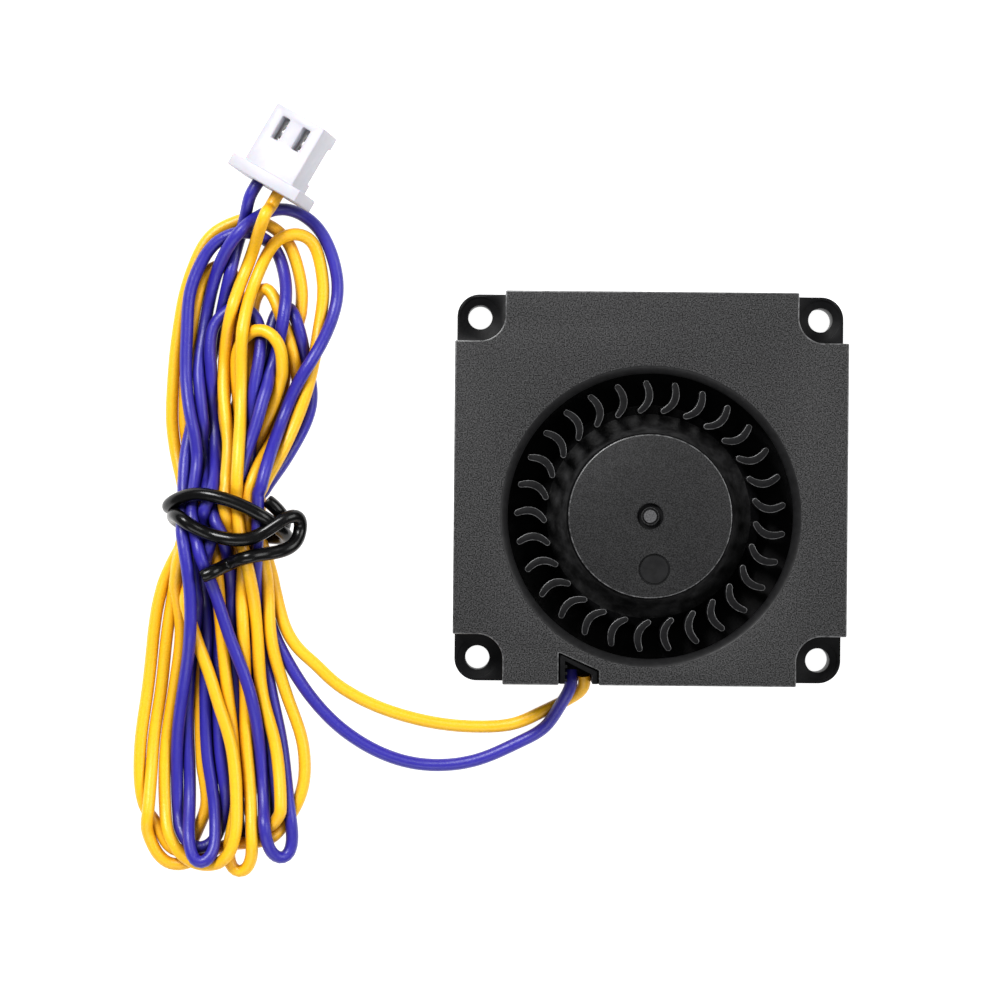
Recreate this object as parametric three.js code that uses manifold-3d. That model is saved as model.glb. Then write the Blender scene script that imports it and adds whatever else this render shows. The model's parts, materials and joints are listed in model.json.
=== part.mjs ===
// Centrifugal blower fan, 40 x 40 x 10 mm, with a tied two-wire lead and a 2-pin plug.
// Units are millimetres. The origin is the bottom centre of the square housing, +Z towards the air inlet.
// The air outlet is on the +Y side and the lead leaves the -Y side.

import * as THREE from 'three';
import { mergeVertices } from 'three/addons/utils/BufferGeometryUtils.js';
import Module from 'manifold-3d';

const wasm = await Module();
wasm.setup();

// ---------------------------------------------------------------- driving dimensions

const SIDE = 40;              // square housing, outside
const HEIGHT = 10;            // housing, back face to cover face
const FLOOR = 1.2;            // base plate thickness
const COVER_T = 1.2;          // cover plate thickness
const WALL = 0.9;             // outer wall of the base
const SCROLL_WALL = 0.7;      // spiral wall of the base
const SEAM = 0.05;            // gap between parts that sit face to face
const EAR_T = 4;              // thickness of the four corner ears
const HOLE_PITCH = 35;        // mounting holes, centre to centre
const HOLE_R = 1.25;          // mounting holes
const EAR_CLEARANCE_R = 2.6;  // rounding of the cover's corner cut-outs, about each hole
const CORNER_R = 2.3;         // outside corner of an ear
const CHAMFER = 0.15;         // edge break of the cover plate

const AXIS_Y = -2.8;          // fan axis, at x = 0
const INLET_R = 15.2;         // inlet at the cover's face
const INLET_THROAT_R = 14.5;  // inlet at the cover's underside
const TONGUE_R = 14.6;        // spiral wall at the cut-off tongue
const TONGUE_DEG = 140;       // where the spiral starts
const SPIRAL_REF_DEG = 245;   // where the spiral has grown by SPIRAL_GROWTH
const SPIRAL_GROWTH = 0.75;
const OUTLET_HALF = 13.6;     // half width of the outlet

const BLADES = 29;
const BLADE_T = 0.62;
const BLADE_INNER_R = 10.5;
const BLADE_MID_R = 12;
const BLADE_OUTER_R = 13.85;
const BLADE_INNER_DEG = 8.75;
const BLADE_MID_DEG = 4.1;
const BLADE_OUTER_DEG = 5.25;
const BLADE_TOP = 8.3;
const ROTOR_BOTTOM = 2.7;
const HUB_R = 8.35;
const HUB_TOP = 9;
const DISC_R = 11.4;

const SHAFT_R = 0.75;
const BUSH_BORE_R = 0.8;
const BUSH_R = 1.95;
const TUBE_R = 2.6;
const STATOR_R = 6;
const MAGNET_INNER_R = 6.35;
const MAGNET_R = 7.05;
const YOKE_R = 7.55;
const BOARD_Z = 1.6;
const BOARD_T = 0.6;
const BOARD_R = 8.7;

const WIRE_R = 0.65;          // insulated hook-up wire
const HANK_T = 5;             // thickness of the folded lead
const TIE_R = 0.7;            // coated tie wire
const TIE_Y = -3;             // where the tie goes round the hank
const TIE_BAND = 2.9;         // two turns of tie wire side by side
const PIN_PITCH = 2.5;        // plug contacts

// ---------------------------------------------------------------- materials

const finish = (color, roughness, metalness = 0) =>
  new THREE.MeshStandardMaterial({ color, roughness, metalness });

const MATERIALS = {
  housing: () => finish(0x111113, 0.5),
  cover: () => finish(0x3e3e40, 0.72),
  impeller: () => finish(0x262628, 0.5),
  steel: () => finish(0x9a9ba0, 0.35, 1),
  lamination: () => finish(0x6e7076, 0.45, 1),
  magnet: () => finish(0x2b2827, 0.8),
  brass: () => finish(0xb59a55, 0.3, 1),
  bronze: () => finish(0x9a6f3c, 0.5, 1),
  insulator: () => finish(0xd8d2c0, 0.55),
  copper: () => finish(0xa8562a, 0.35, 1),
  board: () => finish(0x1d5a35, 0.5),
  component: () => finish(0x1a1a1c, 0.5),
  ceramic: () => finish(0xa98a62, 0.5),
  wear_pad: () => finish(0xe8e4da, 0.5),
  label: () => finish(0xb8babd, 0.4),
  blue_wire: () => finish(0x2f2ba8, 0.4),
  yellow_wire: () => finish(0xf4b416, 0.4),
  tie: () => finish(0x0c0c0d, 0.3),
  nylon: () => finish(0xeeecef, 0.45),
  contact: () => finish(0xc9cacd, 0.3, 1),
};

// ---------------------------------------------------------------- solids and outlines

function solid(geometry) {
  const bare = geometry.index ? geometry.toNonIndexed() : geometry.clone();
  bare.deleteAttribute('normal');
  bare.deleteAttribute('uv');
  const merged = mergeVertices(bare, 1e-5);
  return new wasm.Manifold(new wasm.Mesh({
    numProp: 3,
    vertProperties: new Float32Array(merged.attributes.position.array),
    triVerts: new Uint32Array(merged.index.array),
  }));
}

function geometryOf(body) {
  const mesh = body.getMesh();
  const geometry = new THREE.BufferGeometry();
  geometry.setAttribute('position', new THREE.BufferAttribute(new Float32Array(mesh.vertProperties), 3));
  geometry.setIndex(new THREE.BufferAttribute(new Uint32Array(mesh.triVerts), 1));
  geometry.computeVertexNormals();
  return geometry;
}

const model = new THREE.Group();

function place(name, shape, material, parent = model) {
  const geometry = shape.isBufferGeometry ? shape : geometryOf(shape);
  const mesh = new THREE.Mesh(geometry, MATERIALS[material]());
  mesh.name = name;
  parent.add(mesh);
  return mesh;
}

const radians = THREE.MathUtils.degToRad;
const at = (r, deg, x = 0, y = AXIS_Y) =>
  new THREE.Vector2(x + r * Math.cos(radians(deg)), y + r * Math.sin(radians(deg)));

function arc(x, y, r, fromDeg, toDeg, steps) {
  const points = [];
  for (let i = 0; i <= steps; i += 1) {
    points.push(at(r, fromDeg + (toDeg - fromDeg) * i / steps, x, y));
  }
  return points;
}

function slab(points, z0, z1) {
  const geometry = new THREE.ExtrudeGeometry(new THREE.Shape(points), { depth: z1 - z0, bevelEnabled: false });
  return solid(geometry.translate(0, 0, z0));
}

// A plate whose top and bottom edges are broken by a small chamfer.
function chamferedSlab(points, z0, z1, chamfer, segments = 1) {
  const geometry = new THREE.ExtrudeGeometry(new THREE.Shape(points), {
    depth: z1 - z0 - 2 * chamfer,
    bevelThickness: chamfer,
    bevelSize: chamfer,
    bevelOffset: -chamfer,
    bevelSegments: segments,
  });
  return solid(geometry.translate(0, 0, z0 + chamfer));
}

// A body of revolution about the fan axis. A profile that stays off the axis is closed on itself.
function turned(profile, sides, x = 0, y = AXIS_Y) {
  const points = profile.map(([r, z]) => new THREE.Vector2(r, z));
  if (profile[0][0] > 0) points.push(points[0].clone());
  const geometry = new THREE.LatheGeometry(points, sides).rotateX(Math.PI / 2).translate(x, y, 0);
  const body = solid(geometry);
  if (body.volume() > 0) return body;
  return solid(new THREE.LatheGeometry(points.reverse(), sides).rotateX(Math.PI / 2).translate(x, y, 0));
}

const ring = (inner, outer, z0, z1, sides, x, y) =>
  turned([[inner, z0], [outer, z0], [outer, z1], [inner, z1]], sides, x, y);
const drum = (r, z0, z1, sides, x, y) =>
  turned([[0, z0], [r, z0], [r, z1], [0, z1]], sides, x, y);
const block = (x0, y0, z0, x1, y1, z1) =>
  solid(new THREE.BoxGeometry(x1 - x0, y1 - y0, z1 - z0)
    .translate((x0 + x1) / 2, (y0 + y1) / 2, (z0 + z1) / 2));
const joined = (bodies) => bodies.reduce((whole, body) => whole.add(body));

function cord(route, radius, stepsPerPoint) {
  const path = new THREE.CatmullRomCurve3(route.map((p) => new THREE.Vector3(...p)), false, 'centripetal');
  const section = new THREE.Shape(arc(0, 0, radius, 0, 315, 7));
  return new THREE.ExtrudeGeometry(section, {
    steps: stepsPerPoint * (route.length - 1),
    extrudePath: path,
  });
}

// ---------------------------------------------------------------- housing

const CORNERS = [[1, 1], [-1, 1], [-1, -1], [1, -1]];

// The cover's outline: the square with a rounded cut-out at each ear, drawn a given distance inside.
function crossOutline(inset) {
  const edge = SIDE / 2 - inset;
  const hole = HOLE_PITCH / 2;
  const quarter = [
    new THREE.Vector2(edge, hole - EAR_CLEARANCE_R - inset),
    ...arc(hole, hole, EAR_CLEARANCE_R + inset, 270, 180, 6),
    new THREE.Vector2(hole - EAR_CLEARANCE_R - inset, edge),
  ];
  const outline = [];
  for (let turn = 0; turn < 4; turn += 1) {
    quarter.forEach((p) => outline.push(p.clone().rotateAround(new THREE.Vector2(), turn * Math.PI / 2)));
  }
  return outline;
}

function roundedSquare(half, r) {
  return [[1, 1, 0], [-1, 1, 90], [-1, -1, 180], [1, -1, 270]].flatMap(([sx, sy, start]) =>
    arc(sx * (half - r), sy * (half - r), r, start, start + 90, 5));
}

const spiralR = (deg) => TONGUE_R + SPIRAL_GROWTH * ((deg - TONGUE_DEG) / (SPIRAL_REF_DEG - TONGUE_DEG)) ** 2;

// The air passage: a spiral round the impeller that opens into a full-width outlet on the +Y side.
function airOutline(outside) {
  const outline = [];
  for (let deg = TONGUE_DEG; deg <= 360; deg += 10) outline.push(at(spiralR(deg) + outside, deg));
  const right = outline[outline.length - 1].x;
  outline.push(new THREE.Vector2(right, 9));
  outline.push(new THREE.Vector2(OUTLET_HALF + outside, 13.5));
  outline.push(new THREE.Vector2(OUTLET_HALF + outside, SIDE / 2 + 1));
  outline.push(new THREE.Vector2(-OUTLET_HALF - outside, SIDE / 2 + 1));
  outline.push(new THREE.Vector2(-OUTLET_HALF - outside, 9.5));
  return outline;
}

// The notch where the lead leaves, cut into the cover's -Y edge.
const NOTCH = { left: -9.2, right: -5.1, leftTop: -16.7, rightTop: -18.5 };

function notchOutline(inset, front = -SIDE / 2 - 1) {
  return [
    new THREE.Vector2(NOTCH.left + inset, front),
    new THREE.Vector2(NOTCH.right - inset, front),
    new THREE.Vector2(NOTCH.right - inset, NOTCH.rightTop - inset * 0.7),
    new THREE.Vector2(NOTCH.left + inset, NOTCH.leftTop - inset * 1.3),
  ];
}

const WALL_TOP = HEIGHT - COVER_T - SEAM;
const LABEL_R = 12;
const LABEL_RECESS = 0.3;
const HOOK_X = 11;

function baseHousing() {
  const plate = slab(roundedSquare(SIDE / 2 - 0.15, CORNER_R), 0, FLOOR);
  const ears = CORNERS.map(([sx, sy]) => {
    const quarter = block(Math.min(0, sx * 21), Math.min(0, sy * 21), 0,
      Math.max(0, sx * 21), Math.max(0, sy * 21), EAR_T);
    const corner = slab(roundedSquare(SIDE / 2 - 0.15, CORNER_R), 0, EAR_T);
    return corner.intersect(quarter).subtract(slab(crossOutline(0.3), -1, EAR_T + 1));
  });
  const outerWall = slab(crossOutline(0.1), 0, WALL_TOP).subtract(slab(crossOutline(WALL), FLOOR, HEIGHT));
  const spiral = slab(airOutline(SCROLL_WALL), FLOOR - 0.1, WALL_TOP)
    .intersect(slab(crossOutline(0.1), 0, HEIGHT));
  const well = slab(notchOutline(0.15, -SIDE / 2 + 0.1), FLOOR - 0.1, HEIGHT - 0.5);
  let base = joined([plate, ...ears, outerWall, spiral, well]);
  base = base.subtract(slab(airOutline(0), FLOOR, HEIGHT));
  base = base.subtract(slab(notchOutline(0.65), FLOOR + 0.3, HEIGHT));
  base = base.add(drum(3.2, FLOOR - 0.1, 2.6, 32));
  for (const deg of [60, 180, 300]) {
    const post = at(7.9, deg);
    base = base.add(drum(0.5, FLOOR - 0.1, BOARD_Z - SEAM, 10, post.x, post.y));
  }
  base = base.subtract(drum(TUBE_R + 0.08, 0.8, HEIGHT, 32));
  base = base.subtract(drum(LABEL_R + 0.2, -1, LABEL_RECESS, 48));
  base = base.add(drum(4.2, 0, 0.5, 32).subtract(drum(3.4, -1, LABEL_RECESS, 32)));
  for (const [sx, sy] of CORNERS) {
    base = base.subtract(drum(HOLE_R, -1, HEIGHT, 24, sx * HOLE_PITCH / 2, sy * HOLE_PITCH / 2));
  }
  return base;
}

function topCover() {
  let cover = chamferedSlab(crossOutline(0), HEIGHT - COVER_T, HEIGHT, CHAMFER);
  const under = HEIGHT - COVER_T;
  cover = cover.subtract(turned([
    [0, under - 1], [INLET_THROAT_R, under - 1], [INLET_THROAT_R, under + 0.5],
    [INLET_R - 0.1, HEIGHT - 0.15], [INLET_R + 0.05, HEIGHT], [INLET_R + 0.05, HEIGHT + 1], [0, HEIGHT + 1],
  ], 64));
  cover = cover.subtract(slab(notchOutline(0), 0, HEIGHT + 1));
  const edge = SIDE / 2 - WALL - 0.15;
  const hooks = [
    block(-edge, -2, 6, -edge + 0.8, 2, under + 0.1),
    block(edge - 0.8, -HOOK_X - 2, 6, edge, -HOOK_X + 2, under + 0.1),
    block(HOOK_X - 2, -edge, 6, HOOK_X + 2, -edge + 0.6, under + 0.1),
  ];
  return joined([cover, ...hooks]);
}

// ---------------------------------------------------------------- motor, fixed side

function statorCross(hubR, armHalf, shoeInner, shoeR, z0, z1) {
  const parts = [ring(TUBE_R + 0.1, hubR, z0, z1, 32)];
  for (let i = 0; i < 4; i += 1) {
    const deg = 45 + 90 * i;
    const shoe = [...arc(0, 0, shoeR, -34, 34, 6), ...arc(0, 0, shoeInner, 34, -34, 6)];
    const arm = [[2.9, -armHalf], [shoeInner + 0.3, -armHalf], [shoeInner + 0.3, armHalf], [2.9, armHalf]]
      .map(([x, y]) => new THREE.Vector2(x, y));
    const turn = (outline) => outline.map((p) => {
      const q = p.clone().rotateAround(new THREE.Vector2(), radians(deg));
      return new THREE.Vector2(q.x, q.y + AXIS_Y);
    });
    parts.push(slab(turn(arm), z0, z1));
    parts.push(slab(turn(shoe), z0, z1));
  }
  return joined(parts).subtract(drum(TUBE_R + 0.08, z0 - 1, z1 + 1, 32));
}

// A winding round one arm, drawn along +X from the fan axis and then turned about it.
function coil() {
  const wound = [[-1.7, 2.7], [1.7, 2.7], [1.7, 7.25], [-1.7, 7.25]];
  const bore = [[-0.85, 3.15], [0.85, 3.15], [0.85, 6.8], [-0.85, 6.8]];
  const along = (corners, x0, x1) => slab(corners.map(([y, z]) => new THREE.Vector2(y, z)), x0, x1)
    .transform(new THREE.Matrix4().makeBasis(
      new THREE.Vector3(0, 1, 0), new THREE.Vector3(0, 0, 1), new THREE.Vector3(1, 0, 0)).elements);
  return geometryOf(along(wound, 3.75, 4.55).subtract(along(bore, 3, 6)));
}

function onBoard(radius, deg, length, width, height) {
  const geometry = new THREE.BoxGeometry(length, width, height);
  const spot = at(radius, deg);
  return geometry.rotateZ(radians(deg + 90))
    .translate(spot.x, spot.y, BOARD_Z + BOARD_T + SEAM + height / 2);
}

// ---------------------------------------------------------------- rotor

function bladeOutline() {
  const inner = at(BLADE_INNER_R + BLADE_T / 2, BLADE_INNER_DEG, 0, 0);
  const mid = at(BLADE_MID_R, BLADE_MID_DEG, 0, 0);
  const outer = at(BLADE_OUTER_R - BLADE_T / 2, BLADE_OUTER_DEG, 0, 0);
  const control = mid.clone().multiplyScalar(2).sub(inner.clone().add(outer).multiplyScalar(0.5));
  const spine = new THREE.QuadraticBezierCurve(inner, control, outer);
  const side = (sign, t) => {
    const along = spine.getTangent(t);
    const across = new THREE.Vector2(-along.y, along.x).multiplyScalar(sign * BLADE_T / 2);
    return spine.getPoint(t).add(across);
  };
  const cap = (t, from) => {
    const heading = THREE.MathUtils.radToDeg(spine.getTangent(t).angle());
    const centre = spine.getPoint(t);
    return [1 / 3, 2 / 3].map((k) => at(BLADE_T / 2, heading + from + 180 * k, centre.x, centre.y));
  };
  const stations = [0, 0.35, 0.7, 1];
  return [
    ...stations.map((t) => side(-1, t)),
    ...cap(1, -90),
    ...stations.slice().reverse().map((t) => side(1, t)),
    ...cap(0, 90),
  ];
}

function impeller() {
  const shell = turned([
    [SHAFT_R + 0.03, HUB_TOP - 0.15], [0.95, HUB_TOP], [1.25, HUB_TOP], [1.3, HUB_TOP - 0.12],
    [1.9, HUB_TOP - 0.12], [2, HUB_TOP], [HUB_R - 0.2, HUB_TOP], [HUB_R, HUB_TOP - 0.2],
    [HUB_R + 0.1, 7.8], [9.1, 5.4], [10.2, 3.9], [DISC_R, 3.4], [DISC_R, ROTOR_BOTTOM],
    [10.9, ROTOR_BOTTOM], [9.7, 3.3], [8.3, 5.6], [8.25, ROTOR_BOTTOM], [YOKE_R + 0.07, ROTOR_BOTTOM],
    [YOKE_R + 0.07, 8.02], [1.45, 8.02], [1.45, 6.95], [SHAFT_R + 0.03, 6.95],
  ], 36);
  const blade = bladeOutline();
  const parts = [shell];
  for (let i = 0; i < BLADES; i += 1) {
    const turn = i * 2 * Math.PI / BLADES;
    const outline = blade.map((p) => {
      const q = p.clone().rotateAround(new THREE.Vector2(), turn);
      return new THREE.Vector2(q.x, q.y + AXIS_Y);
    });
    parts.push(slab(outline, ROTOR_BOTTOM, BLADE_TOP));
  }
  const gateMark = drum(1.6, HUB_TOP - 0.12, HUB_TOP + 1, 24, 0.45, AXIS_Y - 5.4);
  return joined(parts).subtract(gateMark);
}

// ---------------------------------------------------------------- lead, tie and plug

const YELLOW_LEAD = [
  [-6.48, -19.3, 3], [-6.5, -20.4, 2.7], [-8.5, -22.1, 0.9], [-11, -23.4, 0.75], [-13.5, -24.5, 0.75],
  [-17.4, -24.8, 0.75], [-22.5, -24.3, 0.75], [-27.7, -22.8, 0.75], [-31.9, -20.6, 0.8], [-34.6, -18.4, 1.2],
  [-37.3, -16.6, 1.9],
];
const BLUE_LEAD = [
  [-7.82, -18.7, 3.3], [-7.85, -20.3, 3.4], [-8.9, -22.3, 2.5], [-10.5, -24.7, 1.5], [-13.2, -26.3, 0.85],
  [-17.4, -28.2, 0.75], [-21, -28.8, 0.75], [-24.6, -28.5, 0.75], [-28.2, -27.2, 0.75], [-31.9, -24.8, 0.75],
  [-35.4, -21.2, 0.9], [-36.4, -19.6, 1.1],
];
const BLUE_TAIL = [[-40.72, 30.86, 3.42], [-41.05, 29.6, 3.4], [-41.3, 28.3, 3.35]];
const YELLOW_TAIL = [[-38.62, 29.66, 4.05], [-38.8, 29.2, 4.05], [-38.95, 28.5, 4]];

// The folded lead: its outer shape seen from above, narrow at the tie.
const HANK = [
  [-49.4, -3], [-49.2, 4], [-49.3, 9], [-49.1, 16.2], [-48.1, 21.9], [-45.9, 25.2], [-42.6, 26.8],
  [-39.8, 27.9], [-37.3, 27.9], [-34.7, 27], [-32.6, 24.6], [-31.7, 20.9], [-32.3, 16.8], [-33.7, 12.4],
  [-35.4, 8], [-37.5, 3.4], [-39, -0.3], [-39.3, -3], [-39.2, -6], [-38.9, -10.5], [-38, -16.7],
  [-36.4, -21.9], [-35.1, -26.5], [-34.8, -29.8], [-35.6, -33.6], [-36.4, -37.2], [-38.2, -39.4],
  [-41.8, -40.6], [-46.3, -40.2], [-49.3, -39.1], [-51.5, -35.6], [-52.6, -31], [-52.8, -25.5],
  [-52.4, -20.9], [-51.4, -13.6], [-50, -7.4],
];
const TIE_TAIL = [
  [-37.4, -4.3, 4.2], [-36.8, -5.9, 5.2], [-38.3, -6.7, 6.05], [-40.5, -7.1, 6.05], [-42.4, -7.7, 6.05],
  [-44, -8.5, 6.05], [-45.6, -9.2, 6.05],
];

function hank() {
  const outline = new THREE.CatmullRomCurve3(
    HANK.map(([x, y]) => new THREE.Vector3(x, y, 0)), true, 'centripetal').getSpacedPoints(72);
  outline.pop();
  const points = outline.map((p) => new THREE.Vector2(p.x, p.y)).reverse();
  const body = chamferedSlab(points, 0, HANK_T, 0.6, 2);
  const halfBand = TIE_BAND / 2 + 0.3;
  return body.subtract(block(-60, TIE_Y - halfBand, -1, -30, TIE_Y + halfBand, 2 * TIE_R + 0.35));
}

function tieLoop(x0, z0, x1, z1, r) {
  return [[x1, z1, 0], [x0, z1, 90], [x0, z0, 180], [x1, z0, 270]].flatMap(([x, z, start]) => {
    const sx = x === x1 ? x - r : x + r;
    const sz = z === z1 ? z - r : z + r;
    return arc(sx, sz, r, start, start + 90, 4);
  });
}

function twistTie() {
  const outside = tieLoop(-51.2, 0.03, -37.5, HANK_T + 0.3 + 2 * TIE_R, 2);
  const inside = tieLoop(-49.8, 2 * TIE_R + 0.03, -38.9, HANK_T + 0.3, 0.6);
  const upright = new THREE.Matrix4().makeRotationX(Math.PI / 2).elements;
  const band = slab(outside, 0, TIE_BAND).subtract(slab(inside, -1, TIE_BAND + 1))
    .transform(upright).translate(0, TIE_Y + TIE_BAND / 2, 0);
  return band.add(solid(cord(TIE_TAIL, TIE_R, 2)));
}

const PLUG = { x: -39.45, y: 30.61, z: 3.8, headingDeg: -30, rollDeg: -15 };
const FLANGE = { width: 8.4, depth: 5.75, length: 1.3 };
const PLUG_BODY = { width: 5.9, depth: 4.9, length: 8 };
const CAVITY = { width: 1.9, depth: 2.3 };

function plugHousing() {
  let housing = block(-FLANGE.width / 2, 0, -FLANGE.depth / 2, FLANGE.width / 2, FLANGE.length, FLANGE.depth / 2);
  housing = housing.add(block(-PLUG_BODY.width / 2, 0.1, -PLUG_BODY.depth / 2,
    PLUG_BODY.width / 2, PLUG_BODY.length, PLUG_BODY.depth / 2));
  for (const side of [-1, 1]) {
    const x = side * PIN_PITCH / 2;
    housing = housing.subtract(block(x - CAVITY.width / 2, -1, -CAVITY.depth / 2,
      x + CAVITY.width / 2, PLUG_BODY.length + 1, CAVITY.depth / 2));
    housing = housing.subtract(block(x - 0.45, 4.6, 0, x + 0.45, 7.1, PLUG_BODY.depth));
  }
  return housing;
}

// A crimped box terminal: a hollow square socket and the barrel that grips the wire.
function terminal(side) {
  const x = side * PIN_PITCH / 2;
  const socket = block(x - 0.8, 3, -0.95, x + 0.8, 7.6, 0.95)
    .subtract(block(x - 0.55, 2, -0.65, x + 0.55, 9, 0.65));
  const barrel = block(x - 0.8, 0.6, -0.95, x + 0.8, 3.2, -0.62);
  return socket.add(barrel);
}

// ---------------------------------------------------------------- the assembly

place('base_housing', baseHousing(), 'housing');
place('top_cover', topCover(), 'cover');
place('rear_label', ring(4.3, LABEL_R, 0.06, LABEL_RECESS - SEAM, 48), 'label');
place('bearing_tube', ring(BUSH_R + 0.05, TUBE_R, 0.85, 6.2, 32), 'brass');
place('thrust_pad', drum(BUSH_R - 0.1, 0.85, 1.05, 24), 'wear_pad');
place('sleeve_bush', ring(BUSH_BORE_R, BUSH_R, 1.6, 6.3, 32), 'bronze');
place('circuit_board', ring(3.35, BOARD_R, BOARD_Z, BOARD_Z + BOARD_T, 40), 'board');
place('driver_ic', onBoard(6.3, 90, 2.8, 1.5, 0.9), 'component');
place('capacitor', onBoard(6.4, 20, 1.6, 0.8, 0.7), 'ceramic');
place('resistor', onBoard(6.4, 200, 1.6, 0.8, 0.45), 'component');
place('insulator_lower', statorCross(3.5, 0.8, 4.95, 5.7, 3.3, 3.85), 'insulator');
place('stator_core', statorCross(3.4, 0.7, 5, STATOR_R, 3.9, 6.1), 'lamination');
place('insulator_upper', statorCross(3.5, 0.8, 4.95, 5.7, 6.15, 6.7), 'insulator');
for (let i = 0; i < 4; i += 1) {
  const winding = place(`coil_${i + 1}`, coil(), 'copper');
  winding.position.set(0, AXIS_Y, 0);
  winding.rotation.z = radians(45 + 90 * i);
}

place('impeller', impeller(), 'impeller');
place('rotor_yoke', turned([
  [MAGNET_R + 0.06, 3.5], [YOKE_R, 3.5], [YOKE_R, 7.95], [1.55, 7.95], [1.55, 7.6], [MAGNET_R + 0.06, 7.6],
], 48), 'steel');
place('rotor_magnet', ring(MAGNET_INNER_R, MAGNET_R, 3.7, 7.5, 48), 'magnet');
place('shaft', turned([
  [0, 1.1], [SHAFT_R - 0.2, 1.1], [SHAFT_R, 1.3], [SHAFT_R, 8.7], [SHAFT_R - 0.1, 8.85], [0, 8.85],
], 24), 'steel');
place('thrust_washer', ring(SHAFT_R + 0.03, 1.5, 6.6, 6.85, 24), 'wear_pad');
place('shaft_clip', ring(SHAFT_R + 0.03, 1.3, 1.3, 1.5, 20), 'steel');

place('blue_lead', cord(BLUE_LEAD, WIRE_R, 2), 'blue_wire');
place('yellow_lead', cord(YELLOW_LEAD, WIRE_R, 2), 'yellow_wire');
place('blue_tail', cord(BLUE_TAIL, WIRE_R, 2), 'blue_wire');
place('yellow_tail', cord(YELLOW_TAIL, WIRE_R, 1), 'yellow_wire');
place('wire_hank', hank(), 'blue_wire');
place('twist_tie', twistTie(), 'tie');

const plug = new THREE.Group();
plug.position.set(PLUG.x, PLUG.y, PLUG.z);
plug.rotation.set(0, radians(PLUG.rollDeg), radians(PLUG.headingDeg), 'ZYX');
model.add(plug);
place('connector_housing', plugHousing(), 'nylon', plug);
place('contact_blue', terminal(-1), 'contact', plug);
place('contact_yellow', terminal(1), 'contact', plug);

export default model;
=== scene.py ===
"""Centrifugal blower fan with a tied two-wire lead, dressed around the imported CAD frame.

Shapes are worked out in millimetres and turned to metres where an object is made.
"""
import json
import math

import bmesh
import bpy
import numpy as np
from mathutils import Matrix, Vector

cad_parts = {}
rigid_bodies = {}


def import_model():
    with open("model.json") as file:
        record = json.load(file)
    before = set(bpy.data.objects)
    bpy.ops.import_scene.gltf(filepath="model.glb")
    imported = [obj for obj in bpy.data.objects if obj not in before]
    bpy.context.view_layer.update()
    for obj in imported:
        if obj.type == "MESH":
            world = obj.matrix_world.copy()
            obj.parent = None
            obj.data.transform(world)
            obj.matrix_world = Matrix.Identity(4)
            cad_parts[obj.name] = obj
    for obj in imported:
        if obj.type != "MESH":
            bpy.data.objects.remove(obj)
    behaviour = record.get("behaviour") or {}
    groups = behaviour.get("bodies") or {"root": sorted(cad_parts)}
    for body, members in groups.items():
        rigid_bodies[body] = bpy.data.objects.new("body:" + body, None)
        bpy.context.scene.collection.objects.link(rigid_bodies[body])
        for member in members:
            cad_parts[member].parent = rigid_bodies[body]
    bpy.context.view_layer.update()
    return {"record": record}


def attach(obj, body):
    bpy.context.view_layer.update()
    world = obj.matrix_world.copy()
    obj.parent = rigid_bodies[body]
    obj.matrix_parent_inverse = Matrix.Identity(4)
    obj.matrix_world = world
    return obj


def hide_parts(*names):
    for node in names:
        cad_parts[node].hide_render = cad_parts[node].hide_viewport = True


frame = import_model()

MM = 0.001

# ---- driving dimensions, mm

SIDE = 40.0
HEIGHT = 10.0
FLOOR = 1.2
COVER_T = 1.2
WALL = 0.9
SCROLL_WALL = 0.7
EAR_T = 4.0
HOLE_PITCH = 35.0
HOLE_R = 1.25
EAR_CLEARANCE_R = 2.6
CORNER_R = 2.3

AXIS_Y = -2.8
INLET_R = 15.2
INLET_THROAT_R = 14.5
TONGUE_R = 14.6
TONGUE_DEG = 140.0
SPIRAL_REF_DEG = 245.0
SPIRAL_GROWTH = 0.75
OUTLET_HALF = 13.6

BLADES = 29
BLADE_T = 0.62
BLADE_TOP = 8.3
ROTOR_BOTTOM = 2.7
HUB_R = 8.35
HUB_TOP = 9.0
DISC_R = 11.4
SHAFT_R = 0.75
YOKE_R = 7.55

WIRE_D = 1.3
TIE_R = 0.7
PIN_PITCH = 2.5

HOUSING = "housing"
ROTOR = "rotor"

# ---- camera

CAMERA_AT = (-15.3, -1.28, 440.0)
CAMERA_ROLL_DEG = 0.52
CAMERA_LENS = 152.6


def make_camera():
    data = bpy.data.cameras.new("camera")
    data.lens = CAMERA_LENS
    data.sensor_width = 36.0
    data.clip_start = 0.01
    data.clip_end = 5.0
    camera = bpy.data.objects.new("camera", data)
    camera.location = [v * MM for v in CAMERA_AT]
    camera.rotation_euler = (0.0, 0.0, math.radians(CAMERA_ROLL_DEG))
    bpy.context.scene.collection.objects.link(camera)
    bpy.context.scene.camera = camera


make_camera()

# ---- mesh helpers


CURVE_STEPS = 16
WELD = 1e-4
CUT, JOIN = "DIFFERENCE", "UNION"


def obj_from(name, bm, material, body, replaces=(), sharp_deg=35.0):
    """A finished piece from a bmesh in millimetres."""
    bm.transform(Matrix.Scale(MM, 4))
    bmesh.ops.recalc_face_normals(bm, faces=bm.faces)
    mesh = bpy.data.meshes.new(name)
    bm.to_mesh(mesh)
    bm.free()
    mesh.shade_smooth()
    mesh.set_sharp_from_angle(angle=math.radians(sharp_deg))
    piece = bpy.data.objects.new(name, mesh)
    bpy.context.scene.collection.objects.link(piece)
    mesh.materials.append(material)
    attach(piece, body)
    if replaces:
        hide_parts(*replaces)
    return piece


def polar(r, deg, x=0.0, y=AXIS_Y):
    """The point at a radius and an angle, round the fan's axis unless another centre is given."""
    return (x + r * math.cos(math.radians(deg)), y + r * math.sin(math.radians(deg)))


def arc(x, y, r, start, end, steps):
    return [polar(r, start + (end - start) * i / steps, x, y) for i in range(steps + 1)]


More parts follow.
